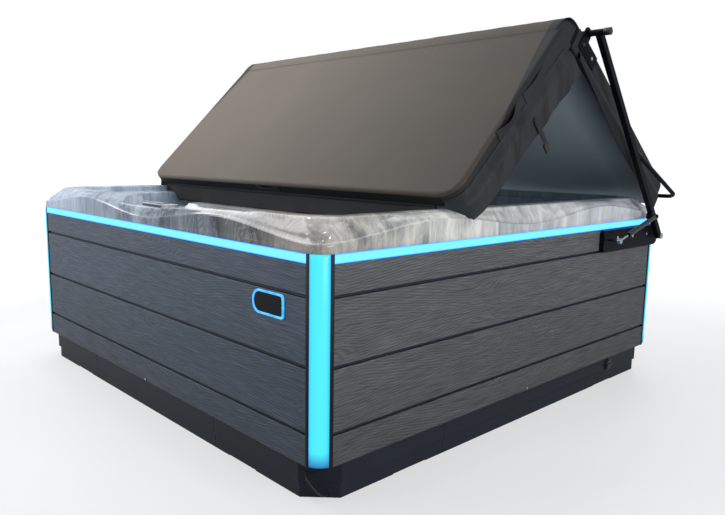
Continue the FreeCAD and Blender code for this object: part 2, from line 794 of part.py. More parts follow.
# Control box with the heater tube on top of it
box_right = control_box_left + control_box_length
box_back = control_box_front + control_box_depth
box_top = pan_wall + control_box_height
parts["control_box"] = box(control_box_left, box_right, control_box_front, box_back, pan_wall, box_top)
heater_y = (control_box_front + box_back) / 2
heater_z = box_top + heater_saddle_height + heater_radius
heater_middle = control_box_left + control_box_length / 2
heater = rod(Vec(heater_middle - heater_length / 2, heater_y, heater_z),
             Vec(heater_middle + heater_length / 2, heater_y, heater_z), heater_radius)
for share in (0.2, 0.8):
    place = control_box_left + control_box_length * share
    saddle = box(place - heater_saddle_width / 2, place + heater_saddle_width / 2,
                 heater_y - heater_radius, heater_y + heater_radius, box_top, heater_z)
    heater = heater.fuse(saddle)
parts["heater"] = heater

# Control panel on the recess floor, with a screen and four buttons that press
panel_back = -shelf_half
panel_y = (recess_front + panel_back) / 2
panel = rounded_prism(panel_length / 2, panel_width / 2, panel_corner_radius, 0, panel_height)
panel.translate(Vec(panel_middle, panel_y, shelf_height))
panel_top = shelf_height + panel_height
screen_x = panel_middle - panel_length / 2 + screen_length / 2 + panel_corner_radius
screen = box(screen_x - screen_length / 2, screen_x + screen_length / 2,
             panel_y - screen_width / 2, panel_y + screen_width / 2, panel_top - screen_depth, panel_top)
panel = panel.cut(screen)
parts["panel_screen"] = screen
first_button_x = screen_x + screen_length / 2 + button_spacing
for index, name in enumerate(("button_jets", "button_light", "button_warm", "button_cool")):
    button_x = first_button_x + (index % 2) * button_spacing
    button_y = panel_y + (index // 2 - 0.5) * button_spacing
    button_foot = Vec(button_x, button_y, panel_top + button_proud - button_height)
    parts[name] = rod(button_foot, button_foot + Z_AXIS * button_height, button_radius)
    well_floor = button_foot - Z_AXIS * (button_travel + button_gap)
    panel = panel.cut(rod(well_floor, well_floor + Z_AXIS * panel_height, button_radius + button_gap))
parts["control_panel"] = panel

# Badge: a bare black plate inside a lit ring
badge_face = -board_face


def badge_slab(inset, thickness):
    """A plate on the front boards whose left end is rounder than its right end."""
    ends = []
    for side, radius in ((-1, badge_left_radius), (1, badge_right_radius)):
        half_length = badge_length / 2 - inset
        end = rounded_prism(half_length, badge_width / 2 - inset, radius - inset / 2, 0, thickness)
        reach = sorted((0, side * badge_length))
        ends.append(end.common(box(reach[0], reach[1], -badge_width, badge_width, 0, thickness)))
    slab = ends[0].fuse(ends[1]).removeSplitter()
    slab.rotate(Vec(0, 0, 0), X_AXIS, 90)
    slab.translate(Vec(badge_middle, badge_face, badge_height))
    return slab


parts["badge_light_ring"] = badge_slab(0, badge_ring_thickness).cut(
    badge_slab(badge_ring_width, badge_ring_thickness + 1))
parts["badge_plate"] = badge_slab(badge_ring_width + diffuser_gap, badge_plate_thickness)


# The cover and the lifter, drawn closed and then raised about the lifter's pivot
pivot = Vec(0, pivot_y, pivot_z)
fold_closed = Vec(0, fold_place, cover_bottom)
fold_rest = turned(Part.Vertex(fold_closed), pivot, X_AXIS, -raise_angle).Point


def raised(shape):
    return turned(shape, pivot, X_AXIS, -raise_angle)


def raised_front(shape):
    return turned(raised(shape), fold_rest, X_AXIS, front_fold_angle)


rear_edge = fold_place + rear_length
front_edge = fold_place - front_length


def cover_half(edge, edge_thickness, inset, bottom_inset):
    """One tapered half of the cover between the fold and its outer edge, drawn in by an inset."""
    away = 1 if edge > fold_place else -1
    near = fold_place + away * (fold_gap + inset)
    far = edge - away * inset
    taper = (edge_thickness - fold_thickness) / (abs(edge - fold_place))
    near_top = cover_bottom + fold_thickness + taper * (fold_gap + inset) - inset
    far_top = cover_bottom + edge_thickness - taper * inset - inset
    low = cover_bottom + bottom_inset
    width = cover_half_width - inset
    outline = [Vec(-width, near, low), Vec(-width, far, low), Vec(-width, far, far_top),
               Vec(-width, near, near_top)]
    slab = prism(outline, Vec(2 * width, 0, 0))
    depth = abs(far - near)
    radius = cover_corner_radius - inset
    plan = rounded_prism(width, depth, radius, cover_bottom - 1, cover_bottom + fold_thickness + 1)
    plan.translate(Vec(0, far - away * depth, 0))
    return slab.common(plan)


def cover_layers(edge, edge_thickness):
    """Foam core, the vinyl jacket over its top and sides, and the lining under it."""
    body = cover_half(edge, edge_thickness, 0, 0)
    core = cover_half(edge, edge_thickness, jacket_thickness, jacket_thickness)
    below = cover_half(edge, edge_thickness, jacket_thickness, 0)
    return core, body.cut(below), below.cut(core)


def skirt_place(edge, out, drops, along, level):
    """Where a skirt's inner face is: its distance from the middle and its height."""
    length = abs(edge - fold_place)
    begin, end = skirt_start, length - cover_corner_radius
    waves = max(1, round((end - begin) / skirt_wave_length))
    drop = drops[0] + (drops[1] - drops[0]) * along / length
    fall = max(0.0, -level)
    ripple = skirt_wave * fall * math.sin(2 * math.pi * waves * (along - begin) / (end - begin))
    reach = 0.0 if level > 0 else out
    height = cover_bottom + (skirt_overlap * level if level > 0 else drop * level)
    return cover_half_width + reach + ripple, height


def fold_line(points):
    """A line of soft folds: an arc over each pair of steps, or a straight where it lies flat."""
    edges = []
    for start, middle, end in zip(points[0::2], points[1::2], points[2::2]):
        bow = (middle - (start + end) * 0.5).Length
        run = Part.Arc(start, middle, end) if bow > 0.01 else Part.LineSegment(start, end)
        edges.append(run.toShape())
    return edges


def sheet_section(inner, outward):
    outer = [point + outward for point in inner]
    return Part.Wire(fold_line(inner) + [Part.LineSegment(inner[-1], outer[-1]).toShape()]
                     + fold_line(outer[::-1]) + [Part.LineSegment(outer[0], inner[0]).toShape()])


def skirt(edge, out, drops):
    """A hanging flap outside the lip, with soft folds along it, on the right side of one half."""
    away = 1 if edge > fold_place else -1
    begin, end = skirt_start, abs(edge - fold_place) - cover_corner_radius
    count = 4 * max(1, round((end - begin) / skirt_wave_length))
    sections = []
    for level in (1.0, 0.4, -0.1, -0.5, -1.0):
        inner = []
        for step in range(count + 1):
            along = begin + (end - begin) * step / count
            x, z = skirt_place(edge, out, drops, along, level)
            inner.append(Vec(x, fold_place + away * along, z))
        sections.append(sheet_section(inner, X_AXIS * skirt_thickness))
    return Part.makeLoft(sections, True, True)


def front_flap():
    """The flap that hangs plumb from the raised front edge, inside the rim, with soft folds along it."""
    edge = raised_front(Part.Vertex(Vec(0, front_edge, cover_bottom))).Point
    up_face = raised_front(Part.Vertex(Vec(0, front_edge, cover_bottom + skirt_overlap))).Point
    outward = raised_front(Part.Vertex(Vec(0, front_edge - 1, cover_bottom))).Point - edge
    count = 4 * max(1, round(2 * front_flap_half / skirt_wave_length))
    levels = [(up_face, outward, 0.0), (edge, outward, 0.0)]
    for share in (0.1, 0.5, 1.0):
        levels.append((edge - Z_AXIS * front_flap_drop * share, -Y_AXIS, share))
    sections = []
    for root, out, share in levels:
        inner = []
        for step in range(count + 1):
            ripple = skirt_wave * share * (1 + math.sin(math.pi * step / 2))
            x = -front_flap_half + 2 * front_flap_half * step / count
            inner.append(root + X_AXIS * x + out * (front_flap_gap + ripple))
        sections.append(sheet_section(inner, out * skirt_thickness))
    return Part.makeLoft(sections, True, True)


rear_core, rear_jacket, rear_lining = cover_layers(rear_edge, rear_edge_thickness)
front_core, front_jacket, front_lining = cover_layers(front_edge, front_edge_thickness)

# Lifter frame: an arm on each side, a bar across the cover behind the fold and a hooked rod
arm_inner = half + arm_inner_gap
arm_outer = arm_inner + arm_thickness
arm_middle = (arm_inner + arm_outer) / 2
bar_y = fold_place + bar_behind_fold
bar_z = cover_bottom + fold_thickness + bar_radius + bar_gap
bar_end = arm_outer + bar_overhang
bar_centre = Vec(0, bar_y, bar_z)
arm_run = bar_centre - pivot
arm_length = arm_run.Length
arm_angle = math.degrees(math.atan2(arm_run.z, arm_run.y))
cross_bar = rod(Vec(-bar_end, bar_y, bar_z), Vec(bar_end, bar_y, bar_z), bar_radius)
arm_flat = box(arm_inner, arm_outer, pivot_y, pivot_y + arm_length, pivot_z - arm_width / 2,
               pivot_z + arm_width / 2)
arm_root = rod(Vec(arm_inner, pivot_y, pivot_z), Vec(arm_outer, pivot_y, pivot_z), arm_width / 2)
arm = turned(arm_flat, pivot, X_AXIS, arm_angle).fuse(arm_root)
ear_angle = math.radians(arm_angle + spring_arm_lead)
ear_closed = pivot + Vec(0, math.cos(ear_angle), math.sin(ear_angle)) * spring_arm_reach
ear_on_arm = pivot + arm_run.normalize() * spring_arm_reach
ear = rod(ear_closed + X_AXIS * arm_inner, ear_closed + X_AXIS * arm_outer, ear_radius)
ear_run = ear_closed - ear_on_arm
ear_web = box(arm_inner, arm_outer, 0, ear_run.Length, -ear_radius, ear_radius)
ear_web.rotate(Vec(0, 0, 0), X_AXIS, math.degrees(math.atan2(ear_run.z, ear_run.y)))
ear_web.translate(ear_on_arm)
arm = arm.fuse([ear, ear_web]).removeSplitter()
ear_pin_end = spring_offset + eye_thickness / 2 + running_gap
ear_pin = rod(ear_closed + X_AXIS * (arm_inner + 1),
              ear_closed + X_AXIS * (arm_outer + ear_pin_end), stud_radius)
ear_pin_head = rod(ear_closed + X_AXIS * (arm_outer + ear_pin_end),
                   ear_closed + X_AXIS * (arm_outer + ear_pin_end + stud_head_height), stud_head_radius)
axle_bore = rod(Vec(arm_inner - 1, pivot_y, pivot_z), Vec(arm_outer + 1, pivot_y, pivot_z),
                axle_radius + running_gap)
arm = arm.cut([axle_bore, cross_bar]).fuse([ear_pin, ear_pin_head])
parts["lifter_arms"] = group(both_sides(raised(arm)))
parts["cross_bar"] = raised(cross_bar)
cap_foot = Vec(bar_end, bar_y, bar_z)
cap = rod(cap_foot - X_AXIS * cap_length, cap_foot + X_AXIS * cap_end, cap_radius).cut(cross_bar)
parts["bar_caps"] = group(both_sides(raised(cap)))

# Clamp plates that tie the bar to the ends of the rear half
clamp_inner = cover_half_width
clamp_outer = clamp_inner + clamp_thickness
clamp_front = bar_y - clamp_ear_radius
clamp_bottom = cover_bottom + fold_thickness - clamp_height
clamp_top = bar_z
clamp = box(clamp_inner, clamp_outer, clamp_front, clamp_front + clamp_length, clamp_bottom,
            clamp_bottom + clamp_height - 10)
clamp = clamp.fuse(box(clamp_inner, clamp_outer, bar_y - clamp_ear_radius, bar_y + clamp_ear_radius,
                       clamp_bottom, clamp_top))
clamp = clamp.fuse(rod(Vec(clamp_inner, bar_y, bar_z), Vec(clamp_outer, bar_y, bar_z), clamp_ear_radius))
clamp = clamp.removeSplitter().cut(cross_bar)
clamp_screws = []
clamp_holes = []
for step in (0, 1):
    seat = Vec(clamp_outer, bar_y + step * clamp_screw_spacing, clamp_bottom + clamp_height / 2 - 8)
    shank = rod(seat - X_AXIS * bolt_length, seat, bolt_shank_radius)
    clamp_screws.append(shank.fuse(rod(seat, seat + X_AXIS * screw_head_height, bolt_head_radius)))
    clamp_holes.append(shank)
clamp_holes_both = clamp_holes + [mirrored(hole) for hole in clamp_holes]
parts["clamp_plates"] = group(both_sides(raised(clamp.cut(clamp_holes))))
parts["clamp_screws"] = group([side for screw in clamp_screws for side in both_sides(raised(screw))])

# Cradle bar: one bent tube from arm to arm, round the rear edge of the cover
cradle_y = rear_edge + cradle_clearance + cradle_radius
cradle_z = cover_bottom + cradle_height
cradle_root = pivot + arm_run * (arm_length * cradle_arm_share)
cradle_route = [Vec(arm_middle, cradle_root.y, cradle_root.z), Vec(arm_middle, cradle_y, cradle_z),
                Vec(-arm_middle, cradle_y, cradle_z), Vec(-arm_middle, cradle_root.y, cradle_root.z)]
cradle = bent_pipe(cradle_route, [cradle_bend, cradle_bend], cradle_radius).cut(both_sides(arm))
parts["cradle_bar"] = raised(cradle)

parts["rear_cover_core"] = raised(rear_core.cut(clamp_holes_both))
parts["rear_cover_jacket"] = raised(rear_jacket.cut(clamp_holes_both))
parts["rear_cover_lining"] = raised(rear_lining)
parts["rear_cover_skirts"] = group(both_sides(raised(skirt(rear_edge, rear_skirt_out, rear_skirt_drops))))

# Front half of the cover, with sewn handles, skirts, straps and buckles
parts["front_cover_core"] = raised_front(front_core)
parts["front_cover_jacket"] = raised_front(front_jacket)
parts["front_cover_lining"] = raised_front(front_lining)
front_skirts = both_sides(raised_front(skirt(front_edge, front_skirt_out, front_skirt_drops)))
parts["front_cover_skirts"] = group(front_skirts + [front_flap()])
handles = []
for start in side_handle_starts:
    y1 = fold_place - start
    strip = box(cover_half_width, cover_half_width + side_handle_thickness, y1 - side_handle_length, y1,
                cover_bottom + side_handle_bottom, cover_bottom + side_handle_bottom + side_handle_width)
    handles += both_sides(raised_front(strip))
front_strip = box(-front_handle_length / 2, front_handle_length / 2,
                  front_edge - side_handle_thickness, front_edge,
                  cover_bottom + front_handle_bottom,
                  cover_bottom + front_handle_bottom + front_handle_width)
handles.append(raised_front(front_strip))
parts["cover_handles"] = group(handles)
strap_head = skirt_place(front_edge, front_skirt_out, front_skirt_drops, strap_place, -strap_root)
strap_inner, strap_top = strap_head
strap_x = strap_inner + skirt_thickness + strap_seat_gap
strap_y = fold_place - strap_place
strap_end = strap_top - strap_drop
strap = box(strap_x, strap_x + strap_thickness, strap_y - strap_width / 2, strap_y + strap_width / 2,
            strap_end, strap_top)
parts["lock_straps"] = group(both_sides(raised_front(strap)))
buckle_x = strap_x + strap_thickness / 2 - buckle_thickness / 2
buckle = rounded_prism(buckle_length / 2, buckle_width / 2, buckle_width / 4, 0, buckle_thickness)
buckle.rotate(Vec(0, 0, 0), Y_AXIS, 90)
buckle.translate(Vec(buckle_x, strap_y, strap_end - buckle_length / 2))
parts["strap_buckles"] = group(both_sides(raised_front(buckle)))

# Vinyl band over the fold: an arc about the hinge line, with a flap on the top of each half
band_inner = math.hypot(fold_thickness, fold_gap) + band_gap
band_reach = X_AXIS * (cover_half_width - cover_corner_radius / 4)
band_low = Y_AXIS * band_inner
band_high = Y_AXIS * (band_inner + band_thickness)
band_edge = [fold_rest - band_reach + band_low, fold_rest + band_reach + band_low,
             fold_rest + band_reach + band_high, fold_rest - band_reach + band_high]
band_face = Part.Face(Part.makePolygon(band_edge + band_edge[:1]))
band = turned(band_face.revolve(fold_rest, X_AXIS, front_fold_angle), fold_rest, X_AXIS, 90 - raise_angle)


def band_flap(edge, edge_thickness):
    """The strip of the band that is sewn to the top of one half, drawn closed."""
    away = 1 if edge > fold_place else -1
    fall = (edge_thickness - fold_thickness) / abs(edge - fold_place) * band_flap_width
    top = cover_bottom + fold_thickness
    end = fold_place + away * band_flap_width
    outline = [Vec(0, fold_place, top), Vec(0, end, top + fall), Vec(0, end, top + fall + band_thickness),
               Vec(0, fold_place, top + band_thickness)]
    return prism([point - band_reach for point in outline], band_reach * 2)


rear_band_flap = raised(band_flap(rear_edge, rear_edge_thickness))
front_band_flap = raised_front(band_flap(front_edge, front_edge_thickness))
parts["fold_band"] = band.fuse([rear_band_flap, front_band_flap]).removeSplitter()

# Axles and gas springs between the brackets and the arms
axle_seat = Vec(arm_outer + running_gap, pivot_y, pivot_z)
axle = rod(Vec(half, pivot_y, pivot_z), axle_seat, axle_radius)
axle = axle.fuse(rod(axle_seat, axle_seat + X_AXIS * axle_head_height, axle_head_radius))
spacer = rod(Vec(bracket_outer, pivot_y, pivot_z), Vec(arm_inner - running_gap, pivot_y, pivot_z),
             spacer_radius)
parts["pivot_axles"] = group(both_sides(axle.fuse(spacer)))
spring_x = arm_outer + spring_offset
stud_tip = spring_x - eye_thickness / 2 - running_gap
foot_centre = Vec(spring_x, spring_foot_y, spring_foot_z)
stud = rod(Vec(bracket_face, spring_foot_y, spring_foot_z),
           Vec(stud_tip, spring_foot_y, spring_foot_z), stud_radius)
stud = stud.fuse(rod(Vec(stud_tip - stud_head_height, spring_foot_y, spring_foot_z),
                     Vec(stud_tip, spring_foot_y, spring_foot_z), stud_head_radius))
parts["spring_studs"] = group(both_sides(stud))
ear_rest = raised(Part.Vertex(ear_closed)).Point
head_centre = ear_rest + X_AXIS * spring_x
spring_run = (foot_centre - head_centre)
spring_length = spring_run.Length
spring_way = spring_run.normalize()


def spring_eye(centre):
    return rod(centre - X_AXIS * eye_thickness / 2, centre + X_AXIS * eye_thickness / 2, eye_radius)


barrel_start = head_centre + spring_way * eye_radius * 0.8
barrel_end = barrel_start + spring_way * cylinder_length
bore_start = barrel_start + spring_way * piston_length
barrel = rod(barrel_start, barrel_end, cylinder_radius).fuse(spring_eye(head_centre))
barrel = barrel.cut(rod(bore_start, barrel_end + spring_way, cylinder_bore))
barrel = barrel.cut(rod(head_centre - X_AXIS * eye_thickness, head_centre + X_AXIS * eye_thickness,
                        stud_radius + running_gap))
parts["gas_cylinders"] = group(both_sides(barrel))
piston_end = barrel_end - spring_way * (spring_rod_inside - piston_length)
piston_start = barrel_end - spring_way * spring_rod_inside
rod_shape = rod(piston_start, foot_centre, spring_rod_radius).fuse(
    [rod(piston_start, piston_end, cylinder_bore - running_gap), spring_eye(foot_centre)])
parts["gas_rods"] = group(both_sides(rod_shape))

os.makedirs("parts", exist_ok=True)
for name, shape in parts.items():
    shape.exportStep(f"parts/{name}.step")
print(len(parts), "nodes")
for name, shape in sorted(parts.items()):
    if not shape.isValid() or any(solid.Volume <= 0 for solid in shape.Solids) or not shape.Solids:
        print("not valid", name, len(shape.Solids))
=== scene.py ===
import bmesh
import bpy
import json
import math
from mathutils import Matrix, Vector, noise


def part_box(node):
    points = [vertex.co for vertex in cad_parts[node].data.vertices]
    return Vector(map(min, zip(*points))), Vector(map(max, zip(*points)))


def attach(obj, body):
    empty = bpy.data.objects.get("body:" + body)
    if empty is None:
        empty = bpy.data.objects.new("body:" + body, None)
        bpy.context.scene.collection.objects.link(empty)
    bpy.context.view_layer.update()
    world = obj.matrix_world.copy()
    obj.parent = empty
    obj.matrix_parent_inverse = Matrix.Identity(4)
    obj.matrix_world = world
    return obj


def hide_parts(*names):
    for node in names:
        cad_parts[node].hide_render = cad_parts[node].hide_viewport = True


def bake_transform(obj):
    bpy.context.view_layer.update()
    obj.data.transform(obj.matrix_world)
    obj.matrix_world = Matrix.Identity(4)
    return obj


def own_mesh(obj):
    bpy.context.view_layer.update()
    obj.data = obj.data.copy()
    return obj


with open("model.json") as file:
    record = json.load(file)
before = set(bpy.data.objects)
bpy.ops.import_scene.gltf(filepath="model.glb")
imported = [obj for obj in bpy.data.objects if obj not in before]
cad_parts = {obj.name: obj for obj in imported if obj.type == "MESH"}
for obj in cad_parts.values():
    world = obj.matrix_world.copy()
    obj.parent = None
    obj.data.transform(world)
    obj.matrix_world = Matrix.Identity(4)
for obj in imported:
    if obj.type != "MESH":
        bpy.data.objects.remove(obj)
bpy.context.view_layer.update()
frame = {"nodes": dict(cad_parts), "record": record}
nodes = frame["nodes"]
joints = {joint["name"]: joint for joint in frame["record"]["behaviour"]["joints"]}

# Studio
# A pale floor under soft overhead panels, and a camera at head height off the tub's front right
# corner. The backdrop is the white of the world, which the floor runs out to.
scene = bpy.context.scene
scene.view_settings.view_transform = "Standard"

camera_place = Vector((2.54825, -2.31602, 1.05045))
camera_yaw = math.radians(46.295)
camera_pitch = math.radians(8.503)
camera_roll = math.radians(0.932)
forward = Vector((-math.sin(camera_yaw) * math.cos(camera_pitch),
                  math.cos(camera_yaw) * math.cos(camera_pitch),
                  -math.sin(camera_pitch)))
level_right = Vector((math.cos(camera_yaw), math.sin(camera_yaw), 0))
level_up = level_right.cross(forward)
right = level_right * math.cos(camera_roll) + level_up * math.sin(camera_roll)
up = level_up * math.cos(camera_roll) - level_right * math.sin(camera_roll)
camera_data = bpy.data.cameras.new("camera")
camera_data.sensor_width = 36.0
camera_data.lens = 33.78
camera = bpy.data.objects.new("camera", camera_data)
camera.matrix_world = Matrix((
    (right.x, up.x, -forward.x, camera_place.x),
    (right.y, up.y, -forward.y, camera_place.y),
    (right.z, up.z, -forward.z, camera_place.z),
    (0, 0, 0, 1)))
scene.collection.objects.link(camera)
scene.camera = camera


class Finish:
    """A material in the making: one principled shader and the patterns that feed it."""

    def __init__(self, name, colour, roughness, metal=0.0):
        self.material = bpy.data.materials.new(name)
        self.material.use_nodes = True
        self.nodes = self.material.node_tree.nodes
        self.links = self.material.node_tree.links
        self.shader = self.nodes["Principled BSDF"]
        self.shader.inputs["Base Color"].default_value = (*colour, 1)
        self.shader.inputs["Roughness"].default_value = roughness
        self.shader.inputs["Metallic"].default_value = metal
        self.place = self.nodes.new("ShaderNodeTexCoord").outputs["Object"]
        self.normal = None

    def stretched(self, scale, turn=(0, 0, 0)):
        mapping = self.nodes.new("ShaderNodeMapping")
        mapping.inputs["Scale"].default_value = scale
        mapping.inputs["Rotation"].default_value = turn
        self.links.new(self.place, mapping.inputs["Vector"])
        return mapping.outputs["Vector"]

    def noise(self, where, scale, detail=4.0, rough=0.55, twist=0.0):
        node = self.nodes.new("ShaderNodeTexNoise")
        node.inputs["Scale"].default_value = scale
        node.inputs["Detail"].default_value = detail
        node.inputs["Roughness"].default_value = rough
        node.inputs["Distortion"].default_value = twist
        self.links.new(where, node.inputs["Vector"])
        return node.outputs["Fac"]

    def cells(self, where, scale):
        node = self.nodes.new("ShaderNodeTexVoronoi")
        node.feature = "DISTANCE_TO_EDGE"
        node.inputs["Scale"].default_value = scale
        self.links.new(where, node.inputs["Vector"])
        return node.outputs["Distance"]

    def ramp(self, factor, *stops):
        node = self.nodes.new("ShaderNodeValToRGB")
        elements = node.color_ramp.elements
        while len(elements) < len(stops):
            elements.new(0.5)
        for element, (place, colour) in zip(elements, stops):
            element.position = place
            element.color = (*colour, 1)
        self.links.new(factor, node.inputs["Fac"])
        return node.outputs["Color"]

    def mix(self, factor, first, second, way="MIX"):
        node = self.nodes.new("ShaderNodeMix")
        node.data_type = "RGBA"
        node.blend_type = way
        for index, value in ((0, factor), (6, first), (7, second)):
            if isinstance(value, (float, int)):
                node.inputs[index].default_value = value
            elif isinstance(value, tuple):
                node.inputs[index].default_value = (*value, 1)
            else:
                self.links.new(value, node.inputs[index])
        return node.outputs[2]

    def combine(self, first, second, way):
        node = self.nodes.new("ShaderNodeMath")
        node.operation = way
        for socket, value in zip(node.inputs, (first, second)):
            if isinstance(value, (float, int)):
                socket.default_value = value
            else:
                self.links.new(value, socket)
        return node.outputs["Value"]

    def sum(self, first, second):
        return self.combine(first, second, "ADD")

    def product(self, first, second):
        return self.combine(first, second, "MULTIPLY")

    def magnitude(self, value):
        return self.combine(value, 0.0, "ABSOLUTE")

    def distance(self, point, weights=(1, 1, 1)):
        """How far a place on the piece is from a point, with each axis weighed."""
        value = self.place
        for way, constant in (("SUBTRACT", point), ("MULTIPLY", weights)):
            node = self.nodes.new("ShaderNodeVectorMath")
            node.operation = way
            node.inputs[1].default_value = constant
            self.links.new(value, node.inputs[0])
            value = node.outputs["Vector"]
        length = self.nodes.new("ShaderNodeVectorMath")
        length.operation = "LENGTH"
        self.links.new(value, length.inputs[0])
        return length.outputs["Value"]

    def scaled(self, factor, low, high, start=0.0, end=1.0):
        node = self.nodes.new("ShaderNodeMapRange")
        node.inputs["From Min"].default_value = start
        node.inputs["From Max"].default_value = end
        node.inputs["To Min"].default_value = low
        node.inputs["To Max"].default_value = high
        self.links.new(factor, node.inputs["Value"])
        return node.outputs["Result"]

    def axis(self, letter):
        node = self.nodes.new("ShaderNodeSeparateXYZ")
        self.links.new(self.place, node.inputs["Vector"])
        return node.outputs[letter]

    def feed(self, socket, value):
        self.links.new(value, self.shader.inputs[socket])

    def gloss(self, level):
        self.shader.inputs["Specular IOR Level"].default_value = level

    def mottle(self, scale, dark, light, start=0.3, end=0.7, detail=4.0):
        """Clouds of two tones all over the piece. The clouds are handed back for other uses."""
        clouds = self.noise(self.place, scale, detail)
        self.feed("Base Color", self.ramp(clouds, (start, dark), (end, light)))
        return clouds

    def relief(self, height, strength, depth):
        """Bump of a given depth in metres, laid over any that is there already."""
        node = self.nodes.new("ShaderNodeBump")
        node.inputs["Strength"].default_value = strength
        node.inputs["Distance"].default_value = depth
        self.links.new(height, node.inputs["Height"])
        if self.normal:
            self.links.new(self.normal, node.inputs["Normal"])
        self.normal = node.outputs["Normal"]
        self.feed("Normal", self.normal)

    def roughen(self, factor, low, high):
        self.feed("Roughness", self.scaled(factor, low, high))

    def grain(self, scale, strength, depth, detail=2.0):
        """Fine bumps all over the piece, as its mould or its coat leaves them."""
        self.relief(self.noise(self.place, scale, detail), strength, depth)

    def tone(self):
        """What feeds the base colour so far."""
        return self.shader.inputs["Base Color"].links[0].from_socket


floor_half = 30.0
floor_mesh = bpy.data.meshes.new("floor")
floor_mesh.from_pydata([(-floor_half, -floor_half, 0), (floor_half, -floor_half, 0),
                        (floor_half, floor_half, 0), (-floor_half, floor_half, 0)], [], [(0, 1, 2, 3)])
floor = bpy.data.objects.new("floor", floor_mesh)
scene.collection.objects.link(floor)
floor_paint = Finish("floor_paint", (0.3, 0.3, 0.3), 0.7)
floor_paint.mottle(1.2, (0.29, 0.29, 0.29), (0.31, 0.31, 0.31))
# The camera sees the floor as pale as the backdrop, with the shadow left in it. Farther out it is white.
# Glass shows the floor and the backdrop as the camera does, and gloss shows a share of them.
near_paleness = 0.56
paling_start, white_from = 2.4, 6.0
from_middle = floor_paint.distance((0, 0, 0))
paleness = floor_paint.scaled(from_middle, near_paleness, 1.0, paling_start, white_from)
floor_rays = floor_paint.nodes.new("ShaderNodeLightPath")
floor_paint.shader.inputs["Emission Color"].default_value = (1, 1, 1, 1)
glossy_share = 0.35
floor_shown = floor_paint.product(floor_rays.outputs["Is Glossy Ray"], glossy_share)
for kind in ("Is Camera Ray", "Is Transmission Ray"):
    floor_shown = floor_paint.combine(floor_shown, floor_rays.outputs[kind], "MAXIMUM")
floor_paint.feed("Emission Strength", floor_paint.product(paleness, floor_shown))
floor.data.materials.append(floor_paint.material)

world = bpy.data.worlds.new("studio")
world.use_nodes = True
scene.world = world
world_nodes, world_links = world.node_tree.nodes, world.node_tree.links
rays = world_nodes.new("ShaderNodeLightPath")
glossy = world_nodes.new("ShaderNodeMath")
glossy.operation = "MULTIPLY"
glossy.inputs[1].default_value = glossy_share
world_links.new(rays.outputs["Is Glossy Ray"], glossy.inputs[0])
shown = glossy.outputs[0]
for kind in ("Is Camera Ray", "Is Transmission Ray"):
    seen = world_nodes.new("ShaderNodeMath")
    seen.operation = "MAXIMUM"
    world_links.new(shown, seen.inputs[0])
    world_links.new(rays.outputs[kind], seen.inputs[1])
    shown = seen.outputs[0]
sky = world_nodes.new("ShaderNodeMix")
sky.data_type = "RGBA"
sky.inputs[6].default_value = (0.24, 0.26, 0.29, 1)
sky.inputs[7].default_value = (1, 1, 1, 1)
world_links.new(shown, sky.inputs[0])
world_links.new(sky.outputs[2], world_nodes["Background"].inputs["Color"])


def soft_panel(name, place, aim, width, height, power):
    """A rectangular area lamp turned towards the place that it lights."""
    lamp = bpy.data.lights.new(name, "AREA")
    lamp.shape = "RECTANGLE"
    lamp.size = width
    lamp.size_y = height
    lamp.energy = power
    panel = bpy.data.objects.new(name, lamp)
    panel.location = place
    panel.rotation_euler = (Vector(aim) - Vector(place)).to_track_quat("-Z", "Y").to_euler()
    scene.collection.objects.link(panel)


soft_panel("panel_top_left", (-2.6, -0.9, 3.7), (-0.9, 0.2, 1.1), 3.8, 2.8, 105)
soft_panel("panel_front_left", (-3.0, -4.6, 2.0), (-0.3, -0.8, 0.6), 3.0, 2.2, 105)
soft_panel("panel_right", (4.6, -0.4, 1.6), (0.9, -0.1, 0.6), 2.8, 2.2, 94)
soft_panel("panel_above", (-0.3, 1.5, 4.8), (0.2, 0.3, 0.8), 3.6, 2.4, 45)
soft_panel("panel_behind", (-1.6, 5.4, 2.4), (-0.2, 0.9, 0.6), 3.0, 2.2, 70)
for spot_x in (-0.8, 0.6, 2.0):
    for spot_y in (-2.2, -0.6):
        soft_panel("spot", (spot_x, spot_y, 3.9), (spot_x * 0.6, spot_y * 0.5, 0.8), 0.14, 0.14, 4)

# Base pan
# A moulded plastic tray that the tub stands on, with a stepped and chamfered wall. The cabinet's
# posts, the pumps and the control box stand in it.


def dress(node, finish):
    """Puts one finish on every slot of a node."""
    piece = nodes[node]
    if not piece.material_slots:
        piece.data.materials.append(finish.material)
    for slot in piece.material_slots:
        slot.material = finish.material


def ease(node, width, segments=2):
    """Rounds a node's edges as its mould, saw or brake would leave them."""
    weld = nodes[node].modifiers.new("weld", "WELD")
    weld.merge_threshold = 0.00005
    bevel = nodes[node].modifiers.new("ease", "BEVEL")
    bevel.width = width
    bevel.segments = segments
    bevel.limit_method = "ANGLE"
    bevel.angle_limit = math.radians(32)
    bevel.harden_normals = True


pan_plastic = Finish("pan_plastic", (0.012, 0.014, 0.022), 0.5)
pan_plastic.gloss(0.3)
pan_cloud = pan_plastic.mottle(5.0, (0.003, 0.006, 0.012), (0.008, 0.013, 0.022), end=0.75, detail=6.0)
pan_plastic.roughen(pan_cloud, 0.4, 0.62)
pan_plastic.grain(260.0, 0.25, 0.0006)
